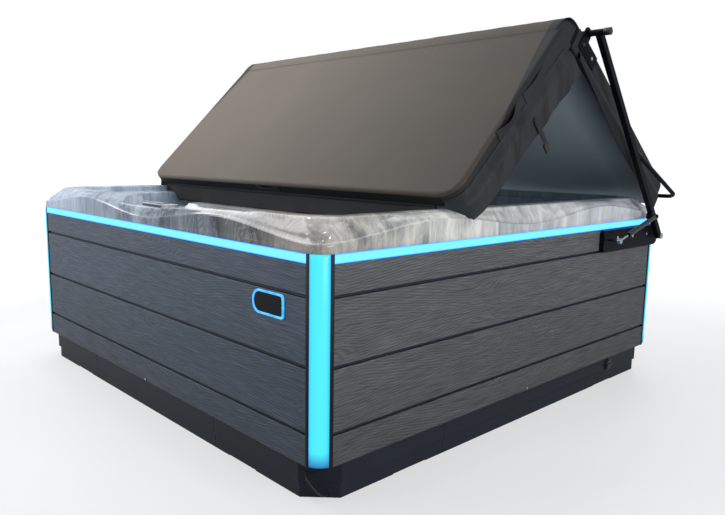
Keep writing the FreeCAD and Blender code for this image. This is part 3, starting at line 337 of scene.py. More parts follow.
# Narrow joints in the pan's wall, two on each side.
seam_place = 0.510
seam_floor, seam_edge, seam_depth = 0.0015, 0.0045, 0.004
seam_offsets = []
for letter in "XY":
    aside = pan_plastic.magnitude(pan_plastic.axis(letter))
    seam_offsets.append(pan_plastic.magnitude(pan_plastic.combine(aside, seam_place, "SUBTRACT")))
from_seam = pan_plastic.combine(seam_offsets[0], seam_offsets[1], "MINIMUM")
pan_plastic.relief(pan_plastic.scaled(from_seam, 0.0, 1.0, seam_floor, seam_edge), 0.9, seam_depth)
dress("base_pan", pan_plastic)
ease("base_pan", 0.003)

# Timber frame
# Sawn softwood posts stand on the pan's floor, and rails are nailed across them for the boards.
# The frame is out of sight in the finished tub.
sawn_timber = Finish("sawn_timber", (0.42, 0.3, 0.17), 0.75)
timber_grain = sawn_timber.noise(sawn_timber.stretched((40, 40, 3)), 1.0, 5.0, 0.6, 0.8)
timber_tone = sawn_timber.ramp(timber_grain, (0.3, (0.3, 0.19, 0.09)), (0.7, (0.52, 0.38, 0.22)))
sawn_timber.feed("Base Color", timber_tone)
sawn_timber.relief(timber_grain, 0.3, 0.001)
for node in ("frame_posts", "frame_rails"):
    dress(node, sawn_timber)

# Pumps, heater, control box and water lines
# Two moulded pumps feed a ring of plastic pipe behind the jets. The heater is a steel tube in
# saddles on the control box.
pipe_plastic = Finish("pipe_plastic", (0.7, 0.71, 0.7), 0.35)
pipe_plastic.mottle(14.0, (0.64, 0.65, 0.64), (0.76, 0.77, 0.75))
dress("water_lines", pipe_plastic)
pump_casting = Finish("pump_casting", (0.03, 0.03, 0.035), 0.45)
pump_casting.mottle(30.0, (0.02, 0.021, 0.025), (0.045, 0.046, 0.05))
pump_casting.grain(400.0, 0.2, 0.0005)
for node in ("jet_pumps", "control_box"):
    dress(node, pump_casting)
bright_steel = Finish("bright_steel", (0.62, 0.63, 0.64), 0.16, 1.0)
steel_brush = bright_steel.noise(bright_steel.stretched((120, 120, 900)), 1.0, 2.0)
bright_steel.roughen(steel_brush, 0.1, 0.24)
bright_steel.mottle(60.0, (0.55, 0.56, 0.57), (0.68, 0.69, 0.7))
for node in ("heater", "panel_screws", "bracket_bolts", "clamp_screws", "pivot_axles", "jets",
             "diverter_knob_front", "diverter_knob_middle", "diverter_knob_rear"):
    dress(node, bright_steel)
for node in ("diverter_knob_front", "diverter_knob_middle", "diverter_knob_rear", "jets"):
    ease(node, 0.0015)

# Drain valve
# A plastic valve through the pan wall with a cap that turns to open it. The same black moulding is
# used for the grommet, suction covers, bar caps and buckles.
black_moulding = Finish("black_moulding", (0.012, 0.012, 0.014), 0.42)
moulding_cloud = black_moulding.mottle(24.0, (0.008, 0.008, 0.01), (0.019, 0.019, 0.022), detail=3.0)
black_moulding.roughen(moulding_cloud, 0.34, 0.5)
black_moulding.grain(500.0, 0.2, 0.0004)
for node in ("drain_valve", "drain_cap", "lead_grommet", "suction_covers", "bar_caps", "strap_buckles"):
    dress(node, black_moulding)
    ease(node, 0.0012)

# Cabinet boards
# Four grooved boards of embossed polymer on every side, dark grey with a cathedral wood figure
# that runs along each board. They slot over each other's tongues and are screwed at the foot.


def board_finish(name, turn, painted_light_tint):
    """Embossed polymer with its grain along the boards of one pair of sides, and a tint of painted light."""
    finish = Finish(name, (0.075, 0.082, 0.09), 0.55)
    finish.gloss(0.38)
    long_way = finish.stretched((1, 1, 1), (0, 0, turn))
    split = finish.nodes.new("ShaderNodeSeparateXYZ")
    finish.links.new(long_way, split.inputs["Vector"])

    def drawn_noise(scale, detail, rough, twist):
        space = finish.nodes.new("ShaderNodeMapping")
        space.inputs["Scale"].default_value = scale
        finish.links.new(long_way, space.inputs["Vector"])
        return finish.noise(space.outputs["Vector"], 1.0, detail, rough, twist)

    # The cathedral figure: long nested arches that meet at the middle of each board.
    arch_length, arch_pitch = 0.62, 0.0055
    board_middle, board_half = 0.326, 0.105
    reach_share, rise_share, wander_share, figure_share = 0.16, 1.15, 0.045, 0.16
    wander = drawn_noise((2.3, 2.0, 9.0), 3.0, 0.55, 0.3)
    bent = finish.sum(split.outputs["X"], finish.product(wander, 0.5))
    reach = finish.combine(bent, arch_length, "PINGPONG")
    above_middle = finish.combine(split.outputs["Z"], board_middle, "SUBTRACT")
    rise = finish.combine(above_middle, board_half, "PINGPONG")
    arch = finish.sum(finish.product(reach, reach_share), finish.product(rise, rise_share))
    arches = finish.combine(finish.sum(arch, finish.product(wander, wander_share)), arch_pitch, "PINGPONG")
    figure = finish.scaled(arches, 0.0, 1.0, 0.0, arch_pitch)
    fibres = drawn_noise((8.0, 60.0, 330.0), 3.0, 0.6, 0.25)
    drift = drawn_noise((0.8, 1.0, 4.0), 2.0, 0.5, 0.0)
    grain = finish.sum(finish.product(figure, figure_share), finish.product(fibres, 1 - figure_share))
    low, middle, high = [tuple(level * part for part in painted_light_tint) for level in (0.05, 0.1, 0.175)]
    tone = finish.ramp(grain, (0.32, low), (0.5, middle), (0.68, high))
    shade = finish.ramp(drift, (0.3, (0.84, 0.84, 0.84)), (0.7, (1.0, 1.0, 1.0)))
    face = finish.mix(1.0, tone, shade, "MULTIPLY")
    # Painted shade: the lower boards are painted a little darker towards the ground, for the light falling
    # off there.
    low_shade_tone, foot_level, unshaded_level = 0.66, 0.12, 0.7
    painted_low_shade = finish.scaled(finish.axis("Z"), low_shade_tone, 1.0, foot_level, unshaded_level)
    face = finish.mix(1.0, face, painted_low_shade, "MULTIPLY")
    # The grooves keep the dark navy of the unembossed sheet.
    groove_face, board_face = 1.0920, 1.0962
    out_x = finish.magnitude(finish.axis("X"))
    out_y = finish.magnitude(finish.axis("Y"))
    on_face = finish.scaled(finish.combine(out_x, out_y, "MAXIMUM"), 0.0, 1.0, groove_face, board_face)
    finish.feed("Base Color", finish.mix(on_face, (0.004, 0.009, 0.02), face))
    finish.roughen(fibres, 0.66, 0.46)
    finish.relief(grain, 0.4, 0.0012)
    return finish


# Painted light: the front and rear boards are tinted bluer than the side boards, for the blue light that
# falls on them.
across_boards = board_finish("boards_across", 0.0, (0.76, 0.98, 1.36))
along_boards = board_finish("boards_along", math.pi / 2, (0.98, 1.03, 1.08))
for node, finish in (("front_boards", across_boards), ("rear_boards", across_boards),
                     ("right_boards", along_boards), ("left_boards", along_boards)):
    dress(node, finish)
    ease(node, 0.0035, 3)

# Corner trims
# Black quarter-round channels on the four corners, each with a lit diffuser let into its face.
# The diffuser is an extruded lens that bows a little out of its channel.
channel_black = Finish("channel_black", (0.004, 0.004, 0.007), 0.45)
channel_black.gloss(0.22)
channel_cloud = channel_black.mottle(24.0, (0.002, 0.002, 0.005), (0.006, 0.006, 0.01), detail=3.0)
channel_black.roughen(channel_cloud, 0.42, 0.58)
dress("corner_channels", channel_black)
ease("corner_channels", 0.0015)


def lit_finish(name, core, strength):
    """A frosted diffuser that glows by itself and stays a little glossy on its face."""
    finish = Finish(name, (0.02, 0.1, 0.14), 0.3)
    finish.shader.inputs["Emission Color"].default_value = (*core, 1)
    finish.shader.inputs["Emission Strength"].default_value = strength
    return finish


corner_glow = lit_finish("corner_glow", (0.06, 0.85, 1.0), 0.94)
out_x = corner_glow.magnitude(corner_glow.axis("X"))
out_y = corner_glow.magnitude(corner_glow.axis("Y"))
off_middle = corner_glow.magnitude(corner_glow.combine(out_x, out_y, "SUBTRACT"))
flecks = corner_glow.noise(corner_glow.stretched((9, 9, 1.2)), 1.0, 3.0)
lens_half_width = 0.055
from_middle = corner_glow.scaled(off_middle, 0.0, 1.0, 0.0, lens_half_width)
width_share = corner_glow.sum(from_middle, corner_glow.scaled(flecks, -0.1, 0.1))
lens_tone = corner_glow.ramp(width_share, (0.0, (0.07, 0.88, 1.0)), (0.55, (0.055, 0.82, 1.0)),
                             (0.85, (0.004, 0.52, 1.0)), (1.0, (0.0, 0.26, 0.8)))
dark_foot, lit_from = 0.128, 0.175
above_foot = corner_glow.scaled(corner_glow.axis("Z"), 0.0, 1.0, dark_foot, lit_from)
corner_glow.feed("Emission Color", corner_glow.mix(above_foot, (0.0, 0.1, 0.42), lens_tone))


def mesh_piece(name, points, faces, finish):
    """A smooth-shaded mesh at the origin with one finish."""
    mesh = bpy.data.meshes.new(name)
    mesh.from_pydata(points, [], faces)
    mesh.polygons.foreach_set("use_smooth", [True] * len(mesh.polygons))
    mesh.materials.append(finish.material)
    piece = bpy.data.objects.new(name, mesh)
    scene.collection.objects.link(piece)
    return piece


channel_radius = 0.060
lens_edge = math.radians(31)
lens_depth = 0.008
lens_bow = 0.008
lens_taper = 0.012
lens_steps = 12
lens_low, lens_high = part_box("corner_diffusers")
lens_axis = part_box("corner_channels")[1].x - channel_radius
lens_rows = [(lens_low.z, 0.0), (lens_low.z + lens_taper / 3, 0.7), (lens_low.z + lens_taper, 1.0),
             (lens_high.z - lens_taper, 1.0), (lens_high.z - lens_taper / 3, 0.7), (lens_high.z, 0.0)]
lens_angles = [lens_edge * (2 * step / lens_steps - 1) for step in range(lens_steps + 1)]
lens_width = len(lens_angles)
lens_loop = [*range(lens_width), *reversed(range(lens_width, 2 * lens_width))]
lens_points, lens_faces = [], []
for side_x, side_y in ((1, -1), (1, 1), (-1, 1), (-1, -1)):
    lens_middle = Vector((side_x * lens_axis, side_y * lens_axis, 0))
    outward = Vector((side_x, side_y, 0)).normalized()
    across = Vector((-outward.y, outward.x, 0))
    first = len(lens_points)
    for level, share in lens_rows:
        for depth, bow in ((0.0, lens_bow * share), (lens_depth, 0.0)):
            for angle in lens_angles:
                reach = (channel_radius - depth) * math.cos(angle) + bow * (1 - (angle / lens_edge) ** 2)
                aside = (channel_radius - depth) * math.sin(angle)
                lens_points.append(lens_middle + outward * reach + across * aside + Vector((0, 0, level)))
    for row in range(len(lens_rows) - 1):
        below = first + row * 2 * lens_width
        above = below + 2 * lens_width
        for this, following in zip(lens_loop, lens_loop[1:] + lens_loop[:1]):
            lens_faces.append((below + this, below + following, above + following, above + this))
    last = len(lens_points) - 2 * lens_width
    for outer in range(lens_steps):
        inner = outer + lens_width
        lens_faces.append((first + outer, first + inner, first + inner + 1, first + outer + 1))
        lens_faces.append((last + outer, last + outer + 1, last + inner + 1, last + inner))
corner_lights = mesh_piece("corner_lights", lens_points, lens_faces, corner_glow)
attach(corner_lights, "tub")
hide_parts("corner_diffusers")

# Rim lights
# A black channel under the lip on every side holds a lit diffuser. The light is pale in the
# middle of the strip and deep blue along its edges.
rim_glow = lit_finish("rim_glow", (0.07, 0.36, 1.0), 2.3)
rim_low, rim_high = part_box("rim_diffusers")
strip = rim_glow.scaled(rim_glow.axis("Z"), 0.0, 1.0, rim_low.z, rim_high.z)
edge_blue, middle_blue = (0.05, 0.33, 1.0), (0.085, 0.37, 1.0)
rim_tone = rim_glow.ramp(strip, (0.0, (0.0, 0.1, 0.8)), (0.07, edge_blue), (0.16, middle_blue),
                         (0.86, middle_blue), (0.95, edge_blue), (1.0, (0.0, 0.14, 0.9)))
rim_glow.feed("Emission Color", rim_tone)
dress("rim_diffusers", rim_glow)
# Painted light: the black channels glow a faint blue, for the strip's light spilling round them.
stray_light = Finish("stray_light", (0.01, 0.012, 0.02), 0.5)
stray_light.shader.inputs["Emission Color"].default_value = (0.0, 0.012, 0.16, 1)
stray_light.shader.inputs["Emission Strength"].default_value = 1.0
stray_light.roughen(stray_light.noise(stray_light.place, 40.0), 0.4, 0.6)
dress("rim_channels", stray_light)

# Vessel shell
# One vacuum-formed acrylic shell: a waved lip with a soft crease, an inner shelf with a recess for
# the controls, sloping backrests, bench seats with scooped corners, and a footwell. The marbling
# is drawn out downwards where the sheet was stretched.
half = 1.1
lip_foot = rim_high.z
lip_crest = 0.870
shelf_level = 0.838
seat_level = 0.450
floor_level = 0.095
recess_ends = (-0.210, 0.300)
notch_end = 0.120
side_step = 0.020
corner_steps = 10
lip_corner = 0.060
crease_low, crease_swell = 0.800, 0.047


def lip_rows(place):
    """The lip's section at a place along its side: inset from the face, corner radius and level."""
    # Two swells along each side: the crease is low at the corners and at the middle.
    crease = crease_low + crease_swell * math.sin(math.pi * place / half) ** 2
    rows = [(0.040, lip_corner, lip_foot), (0.002, lip_corner, lip_foot), (0.0, lip_corner, lip_foot + 0.002)]
    for share in (0.3, 0.65):
        rows.append((0.0, lip_corner, lip_foot + (crease - lip_foot) * share))
    rows.append((0.0, lip_corner, crease - 0.006))
    rows.append((0.0004, 0.061, crease - 0.0022))
    rows.append((0.0024, 0.063, crease))
    rows.append((0.0085, 0.070, crease + 0.0008))
    for share in (0.2, 0.4, 0.6, 0.8):
        swell = 0.004 * math.sin(math.pi * share)
        inset = max(0.0095, 0.050 * share + 0.002)
        rows.append((inset, 0.062 + 0.108 * share, crease + (lip_crest - crease) * share + swell))
    rows += [(0.0440, 0.165, lip_crest - 0.0035), (0.0500, 0.170, lip_crest - 0.0010),
             (0.0580, 0.165, lip_crest), (0.0800, 0.140, lip_crest), (0.1040, 0.118, lip_crest),
             (0.1110, 0.112, lip_crest - 0.0015), (0.1150, 0.110, lip_crest - 0.0060),
             (0.1170, 0.110, shelf_level + 0.0070), (0.1200, 0.112, shelf_level + 0.0015),
             (0.1270, 0.115, shelf_level)]
    return rows


# The rows go on inwards: the shelf's edge, the backrest, the bench, its front and the footwell.
inner_rows = [(0.185, 0.142, shelf_level), (0.195, 0.148, shelf_level - 0.001),
              (0.200, 0.150, shelf_level - 0.006)]
backrest_height, well_depth = shelf_level - seat_level, seat_level - floor_level
for share in (0.15, 0.35, 0.55, 0.75, 0.9):
    inner_rows.append((0.200 + 0.070 * share, 0.150 + 0.030 * share, shelf_level - backrest_height * share))
inner_rows += [(0.272, 0.180, seat_level + 0.012), (0.284, 0.176, seat_level + 0.002),
               (0.300, 0.170, seat_level)]
for inset in (0.34, 0.39, 0.44, 0.49, 0.54, 0.59, 0.64):
    inner_rows.append((inset, 0.170 - (inset - 0.3) * 0.16, seat_level))
inner_rows += [(0.660, 0.112, seat_level), (0.668, 0.110, seat_level - 0.003),
               (0.672, 0.110, seat_level - 0.012)]
for share in (0.3, 0.6, 0.85):
    inner_rows.append((0.670 + 0.030 * share, 0.110, seat_level - well_depth * share))
inner_rows += [(0.702, 0.108, floor_level + 0.012), (0.714, 0.104, floor_level + 0.002),
               (0.735, 0.095, floor_level), (0.85, 0.06, floor_level), (0.98, 0.03, floor_level)]

straight = half - lip_corner
columns = []
for side in range(4):
    count = round(2 * straight / side_step)
    places = [-straight + 2 * straight * step / count for step in range(count + 1)]
    if side == 0:
        for edge in (*recess_ends, notch_end):
            places += [edge - 0.002, edge + 0.002]
    columns += [(side, place, None) for place in sorted(places)]
    columns += [(side, straight, math.radians(90.0 * step / corner_steps)) for step in range(1, corner_steps)]


def on_ring(column, inset, radius):
    """A point on the rounded square at an inset from the tub's face."""
    side, place, angle = column
    face = half - inset
    reach = face - radius
    if angle is not None:
        x = reach + radius * math.sin(angle)
        y = -reach - radius * math.cos(angle)
    else:
        # Columns keep their true place along the outer rows, and close up only near the corners.
        true_part = 0.70 if reach > 0.72 else 0.0
        beyond = abs(place) - true_part
        x = place
        if beyond > 0:
            x = math.copysign(true_part + beyond * (reach - true_part) / (straight - true_part), place)
        y = -face
    for _ in range(side):
        x, y = -y, x
    return x, y


scoop_middle, scoop_radius, scoop_edge, scoop_depth = 0.53, 0.29, 0.07, 0.050


def scooped(x, y, z):
    """Lowers the bench inside the round scoops of the four corner seats."""
    reach = math.hypot(abs(x) - scoop_middle, abs(y) - scoop_middle)
    share = min(1.0, max(0.0, (scoop_radius - reach) / scoop_edge))
    return z - scoop_depth * share * share * (3 - 2 * share)


recess_start, recess_back = 0.042, 0.124
shell_points = []
row_count = len(lip_rows(0)) + len(inner_rows)
for column in columns:
    side, place, angle = column
    in_recess = side == 0 and angle is None and recess_ends[0] < place < recess_ends[1]
    in_notch = in_recess and place < notch_end
    for inset, radius, z in lip_rows(place if angle is None else half) + inner_rows:
        x, y = on_ring(column, inset, radius)
        if in_recess and recess_start < inset < recess_back:
            z = min(z, shelf_level)
        if in_notch and inset <= recess_back:
            z = min(z, shelf_level)
        if abs(z - seat_level) < 0.0001:
            z = scooped(x, y, z)
        shell_points.append((x, y, z))
shell_faces = []
for index in range(len(columns)):
    this = index * row_count
    following = (index + 1) % len(columns) * row_count
    for row in range(row_count - 1):
        shell_faces.append((this + row, following + row, following + row + 1, this + row + 1))
shell_points.append((0, 0, floor_level))
for index in range(len(columns)):
    this = index * row_count + row_count - 1
    following = (index + 1) % len(columns) * row_count + row_count - 1
    shell_faces.append((this, following, len(shell_points) - 1))

marble = Finish("marbled_acrylic", (0.5, 0.5, 0.5), 0.14)
marble.shader.inputs["Coat Weight"].default_value = 0.2
marble.shader.inputs["Coat Roughness"].default_value = 0.04
clouds = marble.noise(marble.stretched((6.0, 6.0, 2.2)), 1.0, 7.0, 0.62, 1.3)
streaks = marble.noise(marble.stretched((26, 26, 2.4)), 1.0, 5.0, 0.65, 1.2)
swirl = marble.noise(marble.stretched((2.2, 2.2, 1.2), (0.2, 0.1, 0.4)), 1.0, 4.0, 0.5, 0.8)
# The sheet's pigment changes along the rim: steel blue, then charcoal, taupe, cream and silver.
round_rim = marble.sum(marble.sum(marble.axis("X"), marble.axis("Y")), marble.scaled(swirl, -0.5, 0.5))
rim_share = marble.scaled(round_rim, 0.0, 1.0, -2.2, 2.2)
dark_tone = marble.ramp(rim_share, (0.0, (0.36, 0.47, 0.62)), (0.25, (0.12, 0.165, 0.22)),
                        (0.38, (0.014, 0.022, 0.036)), (0.5, (0.12, 0.112, 0.102)),
                        (0.6, (0.26, 0.27, 0.275)), (0.85, (0.45, 0.48, 0.51)))
light_tone = marble.ramp(rim_share, (0.0, (0.7, 0.83, 0.97)), (0.25, (0.46, 0.53, 0.61)),
                         (0.38, (0.17, 0.195, 0.23)), (0.5, (0.48, 0.445, 0.395)),
                         (0.6, (0.86, 0.84, 0.77)), (0.85, (0.74, 0.77, 0.8)))
pigment = marble.sum(marble.product(clouds, 0.68), marble.product(streaks, 0.32))
stone = marble.mix(marble.scaled(pigment, 0.0, 1.0, 0.38, 0.6), dark_tone, light_tone)
veins = marble.noise(marble.stretched((7, 7, 3.0), (0.5, 0.3, 0.1)), 1.0, 6.0, 0.6, 2.0)
vein_line = marble.ramp(veins, (0.485, (0, 0, 0)), (0.5, (0.5, 0.5, 0.5)), (0.515, (0, 0, 0)))
stone = marble.mix(vein_line, stone, (0.62, 0.62, 0.6))
# Painted shade: behind the lip the shell is painted a deeper grey towards the rear seats, for the shade under
# the raised cover.
inside_lip = marble.scaled(marble.magnitude(marble.axis("X")), 1.0, 0.0, 0.99, 1.03)
rearwards = marble.scaled(marble.axis("Y"), 0.0, 1.0, 0.1, 0.7)
before_back = marble.scaled(marble.axis("Y"), 1.0, 0.0, 1.03, 1.06)
deeper = marble.product(marble.product(inside_lip, rearwards), before_back)
marble.feed("Base Color", marble.mix(deeper, stone, (0.32, 0.36, 0.46), "MULTIPLY"))
shell = mesh_piece("tub_shell", shell_points, shell_faces, marble)
wall = shell.modifiers.new("wall", "SOLIDIFY")
wall.thickness = 0.004
wall.offset = -1.0
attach(shell, "tub")
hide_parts("vessel_shell")

# Control panel, filter and screen
# A panel with a pale face and navy sides lies on the recess floor, with a dark screen and four rubber
# buttons. The filter's pale lid turns to unlock over a pleated cartridge.
panel_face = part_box("control_panel")[1].z
face_depth = 0.003
for node in ("control_panel", "filter_lid"):
    plastic = Finish(node + "_plastic", (0.5, 0.52, 0.55), 0.35)
    clouds = plastic.noise(plastic.place, 40.0)
    tone = plastic.ramp(clouds, (0.3, (0.46, 0.48, 0.51)), (0.7, (0.55, 0.57, 0.6)))
    if node == "control_panel":
        navy_below, pale_above = panel_face - face_depth, panel_face - face_depth / 2
        on_face = plastic.scaled(plastic.axis("Z"), 0.0, 1.0, navy_below, pale_above)
        tone = plastic.mix(on_face, (0.012, 0.012, 0.07), tone)
    plastic.feed("Base Color", tone)
    dress(node, plastic)
    ease(node, 0.002)
screen_glass = Finish("screen_glass", (0.008, 0.014, 0.05), 0.06)
screen_glass.mottle(18.0, (0.006, 0.01, 0.04), (0.012, 0.022, 0.08))
dress("panel_screen", screen_glass)
button_rubber = Finish("button_rubber", (0.16, 0.18, 0.21), 0.7)
button_rubber.mottle(90.0, (0.13, 0.15, 0.18), (0.19, 0.21, 0.24))
for node in ("button_jets", "button_light", "button_warm", "button_cool"):
    dress(node, button_rubber)
    ease(node, 0.0012, 3)
filter_paper = Finish("filter_paper", (0.78, 0.8, 0.82), 0.8)
filter_paper.relief(filter_paper.noise(filter_paper.stretched((180, 180, 4)), 1.0, 2.0), 0.5, 0.002)
filter_paper.mottle(20.0, (0.72, 0.74, 0.77), (0.83, 0.85, 0.86))
dress("filter_cartridge", filter_paper)

# Badge
# A bare gloss-black plate inside a lit ring, stuck to the front boards near the corner. The ring's
# light is a deeper blue than the strips'.
badge_gloss = Finish("badge_gloss", (0.002, 0.003, 0.006), 0.12)
badge_gloss.gloss(0.12)
badge_gloss.roughen(badge_gloss.noise(badge_gloss.place, 35.0), 0.08, 0.2)
dress("badge_plate", badge_gloss)
ease("badge_plate", 0.001)
badge_glow = lit_finish("badge_glow", (0.0, 0.16, 0.62), 1.3)
badge_flecks = badge_glow.noise(badge_glow.place, 30.0)
badge_tone = badge_glow.ramp(badge_flecks, (0.35, (0.01, 0.3, 0.8)), (0.65, (0.08, 0.5, 0.95)))
badge_glow.feed("Emission Color", badge_tone)
dress("badge_light_ring", badge_glow)
ease("badge_light_ring", 0.0015)

# Lifter
# Powder-coated brackets, arms, clamps and bars of steel, with gas springs between the brackets and
# the arms. The hooked cradle bar keeps the cover's rear edge off the cabinet.
powder_coat = Finish("powder_coat", (0.012, 0.012, 0.014), 0.42)
powder_coat.gloss(0.06)
coat_cloud = powder_coat.mottle(12.0, (0.003, 0.0034, 0.005), (0.007, 0.008, 0.011), end=0.75, detail=3.0)
powder_coat.roughen(coat_cloud, 0.34, 0.5)
powder_coat.grain(700.0, 0.3, 0.0003)
for node, width in (("bracket_plates", 0.005), ("lifter_arms", 0.003), ("clamp_plates", 0.0015)):
    dress(node, powder_coat)
    ease(node, width, 3)
for node in ("cross_bar", "cradle_bar"):
    dress(node, powder_coat)
spring_paint = Finish("spring_paint", (0.014, 0.014, 0.016), 0.22)
spring_paint.roughen(spring_paint.noise(spring_paint.place, 50.0), 0.16, 0.3)
for node in ("gas_cylinders", "spring_studs"):
    dress(node, spring_paint)
dress("gas_rods", bright_steel)

# Cover halves
# Each half is a tapered slab of foam in a sewn vinyl jacket, with a smooth film lining underneath.
# They meet at the fold, where a bar of the lifter carries the rear half.
fold = Vector(joints["front_cover_fold"]["pos_m"])
cover_half_width = 1.090
fold_thickness = 0.105
plan_corner = 0.090


class CoverHalf:
    """One half as it rests: which way it runs from the fold, how steeply it falls, how long it is."""

    def __init__(self, way, slope, length, edge_thickness):
        self.along = Vector((0, way * math.cos(slope), -math.sin(slope)))
        self.up = Vector((0, way * math.sin(slope), math.cos(slope)))
        self.length = length
        self.edge_thickness = edge_thickness

    def spot(self, x, along, up):
        return fold + Vector((x, 0, 0)) + self.along * along + self.up * up

    def top(self, along):
        return fold_thickness + (self.edge_thickness - fold_thickness) * along / self.length


front_half = CoverHalf(-1, math.radians(42.8), 0.910, 0.065)
rear_half = CoverHalf(1, math.radians(34.8), 1.164, 0.088)
cover_halves = ((front_half, "front", "front_cover"), (rear_half, "rear", "lifter"))
edge_steps = (0.0, 0.0006, 0.0022, 0.0048, 0.0085, 0.013, 0.019, 0.027, 0.038)


def graded(low, high, step):
    """Places between two edges, crowded towards both so that the edges can be rounded."""
    first, last = low + edge_steps[-1], high - edge_steps[-1]
    count = round((last - first) / step)
    middle = [first + (last - first) * index / count for index in range(1, count)]
    return [low + gap for gap in edge_steps] + middle + [high - gap for gap in reversed(edge_steps)]


def rounding(depth, radius):
    """How far a rounded edge falls at a depth in from it."""
    short = radius - min(depth, radius)
    return radius - math.sqrt(radius * radius - short * short)


fold_gap = 0.002
slab_step = 0.018
slack_zone = 0.06
side_panel_rows = 7
wide_ripple, small_ripple = 0.0016, 0.0005
panel_swell, panel_wrinkle = 0.0022, 0.0012
top_tag, side_tag, end_tag, under_tag = range(4)


def sewn_slab(name, half_cover, inset, low, top_radius, bottom_radius, finishes,
              high=None, sink=0.0, loose=1.0):
    """A closed padded slab on one half, with rounded edges and the slack of sewn vinyl."""
    width = cover_half_width - inset
    near, far = fold_gap + inset, half_cover.length - inset
    corner = plan_corner - inset
    across, down = graded(-width, width, slab_step), graded(near, far, slab_step)

    def plan(x, along):
        p = (abs(x) - (width - corner)) / corner
        q = (along - (far - corner)) / corner
        if p <= 0 or q <= 0:
            return x, along
        rounded_x = width - corner + corner * p * math.sqrt(1 - q * q / 2)
        return math.copysign(rounded_x, x), far - corner + corner * q * math.sqrt(1 - p * p / 2)

    def ripple(x, along, seed):
        wide = noise.noise(Vector((x * 2.3, along * 3.1, seed)))
        small = noise.noise(Vector((x * 9.0, along * 11.0, seed + 4.0)))
        return loose * (wide_ripple * wide + small_ripple * small)

    points, faces, tags = [], [], []
    count, rows = len(across), len(down)
    upper, lower = [], []
    for x in across:
        upper_line, lower_line = [], []
        for along in down:
            depth = min(width - abs(x), far - along, along - near)
            plan_x, plan_along = plan(x, along)
            slack = min(1.0, depth / slack_zone)
            roof = high if high is not None else half_cover.top(plan_along) - sink
            level = roof - rounding(depth, top_radius) + slack * ripple(plan_x, plan_along, 1.0)
            upper_line.append(len(points))
            points.append(half_cover.spot(plan_x, plan_along, level))
            level = low + rounding(depth, bottom_radius) + slack * 0.5 * ripple(plan_x, plan_along, 7.0)
            lower_line.append(len(points))
            points.append(half_cover.spot(plan_x, plan_along, level))
        upper.append(upper_line)
        lower.append(lower_line)
    for i in range(count - 1):
        for j in range(rows - 1):
            faces.append((upper[i][j], upper[i + 1][j], upper[i + 1][j + 1], upper[i][j + 1]))
            tags.append(top_tag)
            faces.append((lower[i][j], lower[i][j + 1], lower[i + 1][j + 1], lower[i + 1][j]))
            tags.append(under_tag)
    rim = [(i, 0) for i in range(count)] + [(count - 1, j) for j in range(1, rows)]
    rim += [(i, rows - 1) for i in range(count - 2, -1, -1)] + [(0, j) for j in range(rows - 2, 0, -1)]
    side_rows = 1 if high is not None else side_panel_rows
    loops = [[upper[i][j] for i, j in rim]]
    for step_down in range(1, side_rows):
        share = step_down / side_rows
        loop = []
        for i, j in rim:
            head, foot = points[upper[i][j]], points[lower[i][j]]
            place = head.lerp(foot, share)
            slack = math.sin(math.pi * share)
            swell, wrinkle = noise.noise(place * 7.0), noise.noise(place * Vector((14, 14, 30)))
            outward = panel_swell * swell + panel_wrinkle * wrinkle
            if abs(across[i]) > width - 0.0001:
                place = place + Vector((math.copysign(1, across[i]), 0, 0)) * loose * slack * outward
            elif j == rows - 1:
                place = place + half_cover.along * loose * slack * outward
            loop.append(len(points))
            points.append(place)
        loops.append(loop)
    loops.append([lower[i][j] for i, j in rim])
    for above, below in zip(loops, loops[1:]):
        for index in range(len(rim)):
            following = (index + 1) % len(rim)
            i, j = rim[index]
            faces.append((above[index], below[index], below[following], above[following]))
            at_end = j == rows - 1 and rim[following][1] == j and abs(across[i]) < width - corner / 2
            tags.append(end_tag if at_end else side_tag)
    piece = mesh_piece(name, points, faces, finishes[0])
    for finish in finishes[1:]:
        piece.data.materials.append(finish.material)
    piece.data.polygons.foreach_set("material_index", [min(tag, len(finishes) - 1) for tag in tags])
    outward_mesh = bmesh.new()
    outward_mesh.from_mesh(piece.data)
    bmesh.ops.recalc_face_normals(outward_mesh, faces=outward_mesh.faces)
    outward_mesh.to_mesh(piece.data)
    outward_mesh.free()
    return piece


foam = Finish("cover_foam", (0.8, 0.81, 0.81), 0.9)
foam.relief(foam.cells(foam.place, 300.0), 0.4, 0.001)
foam.mottle(25.0, (0.76, 0.77, 0.77), (0.84, 0.85, 0.85))
for half_cover, word, body in cover_halves:
    core = sewn_slab(word + "_core", half_cover, 0.005, 0.006, 0.012, 0.010, [foam], sink=0.005, loose=0.0)
    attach(core, body)
    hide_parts(word + "_cover_core")


def vinyl_finish(name, dark, light, rough):
    """Grained marine vinyl: fine pebbles, a slow drift of tone and a soft sheen."""
    finish = Finish(name, light, rough)
    drift = finish.noise(finish.place, 2.2, 3.0)
    pebbles = finish.cells(finish.place, 520.0)
    speck = finish.noise(finish.place, 900.0, 2.0)
    tone = finish.ramp(drift, (0.3, dark), (0.72, light))
    finish.feed("Base Color", finish.mix(0.35, tone, finish.ramp(speck, (0.35, dark), (0.65, light))))
    finish.roughen(drift, rough - 0.06, rough + 0.06)
    finish.gloss(0.25)
    finish.grain(30.0, 0.15, 0.0012, detail=3.0)
    finish.relief(pebbles, 0.3, 0.0004)
    return finish


top_vinyl = vinyl_finish("cover_vinyl", (0.098, 0.081, 0.066), (0.134, 0.112, 0.091), 0.66)
# Painted light: the top is painted darker towards its right-hand end, for the light falling off across it.
left_tone, right_tone = 1.05, 0.46
painted_falloff = top_vinyl.scaled(top_vinyl.axis("X"), left_tone, right_tone, -0.4, 1.15)
painted_falloff_tone = top_vinyl.mix(1.0, top_vinyl.tone(), painted_falloff, "MULTIPLY")
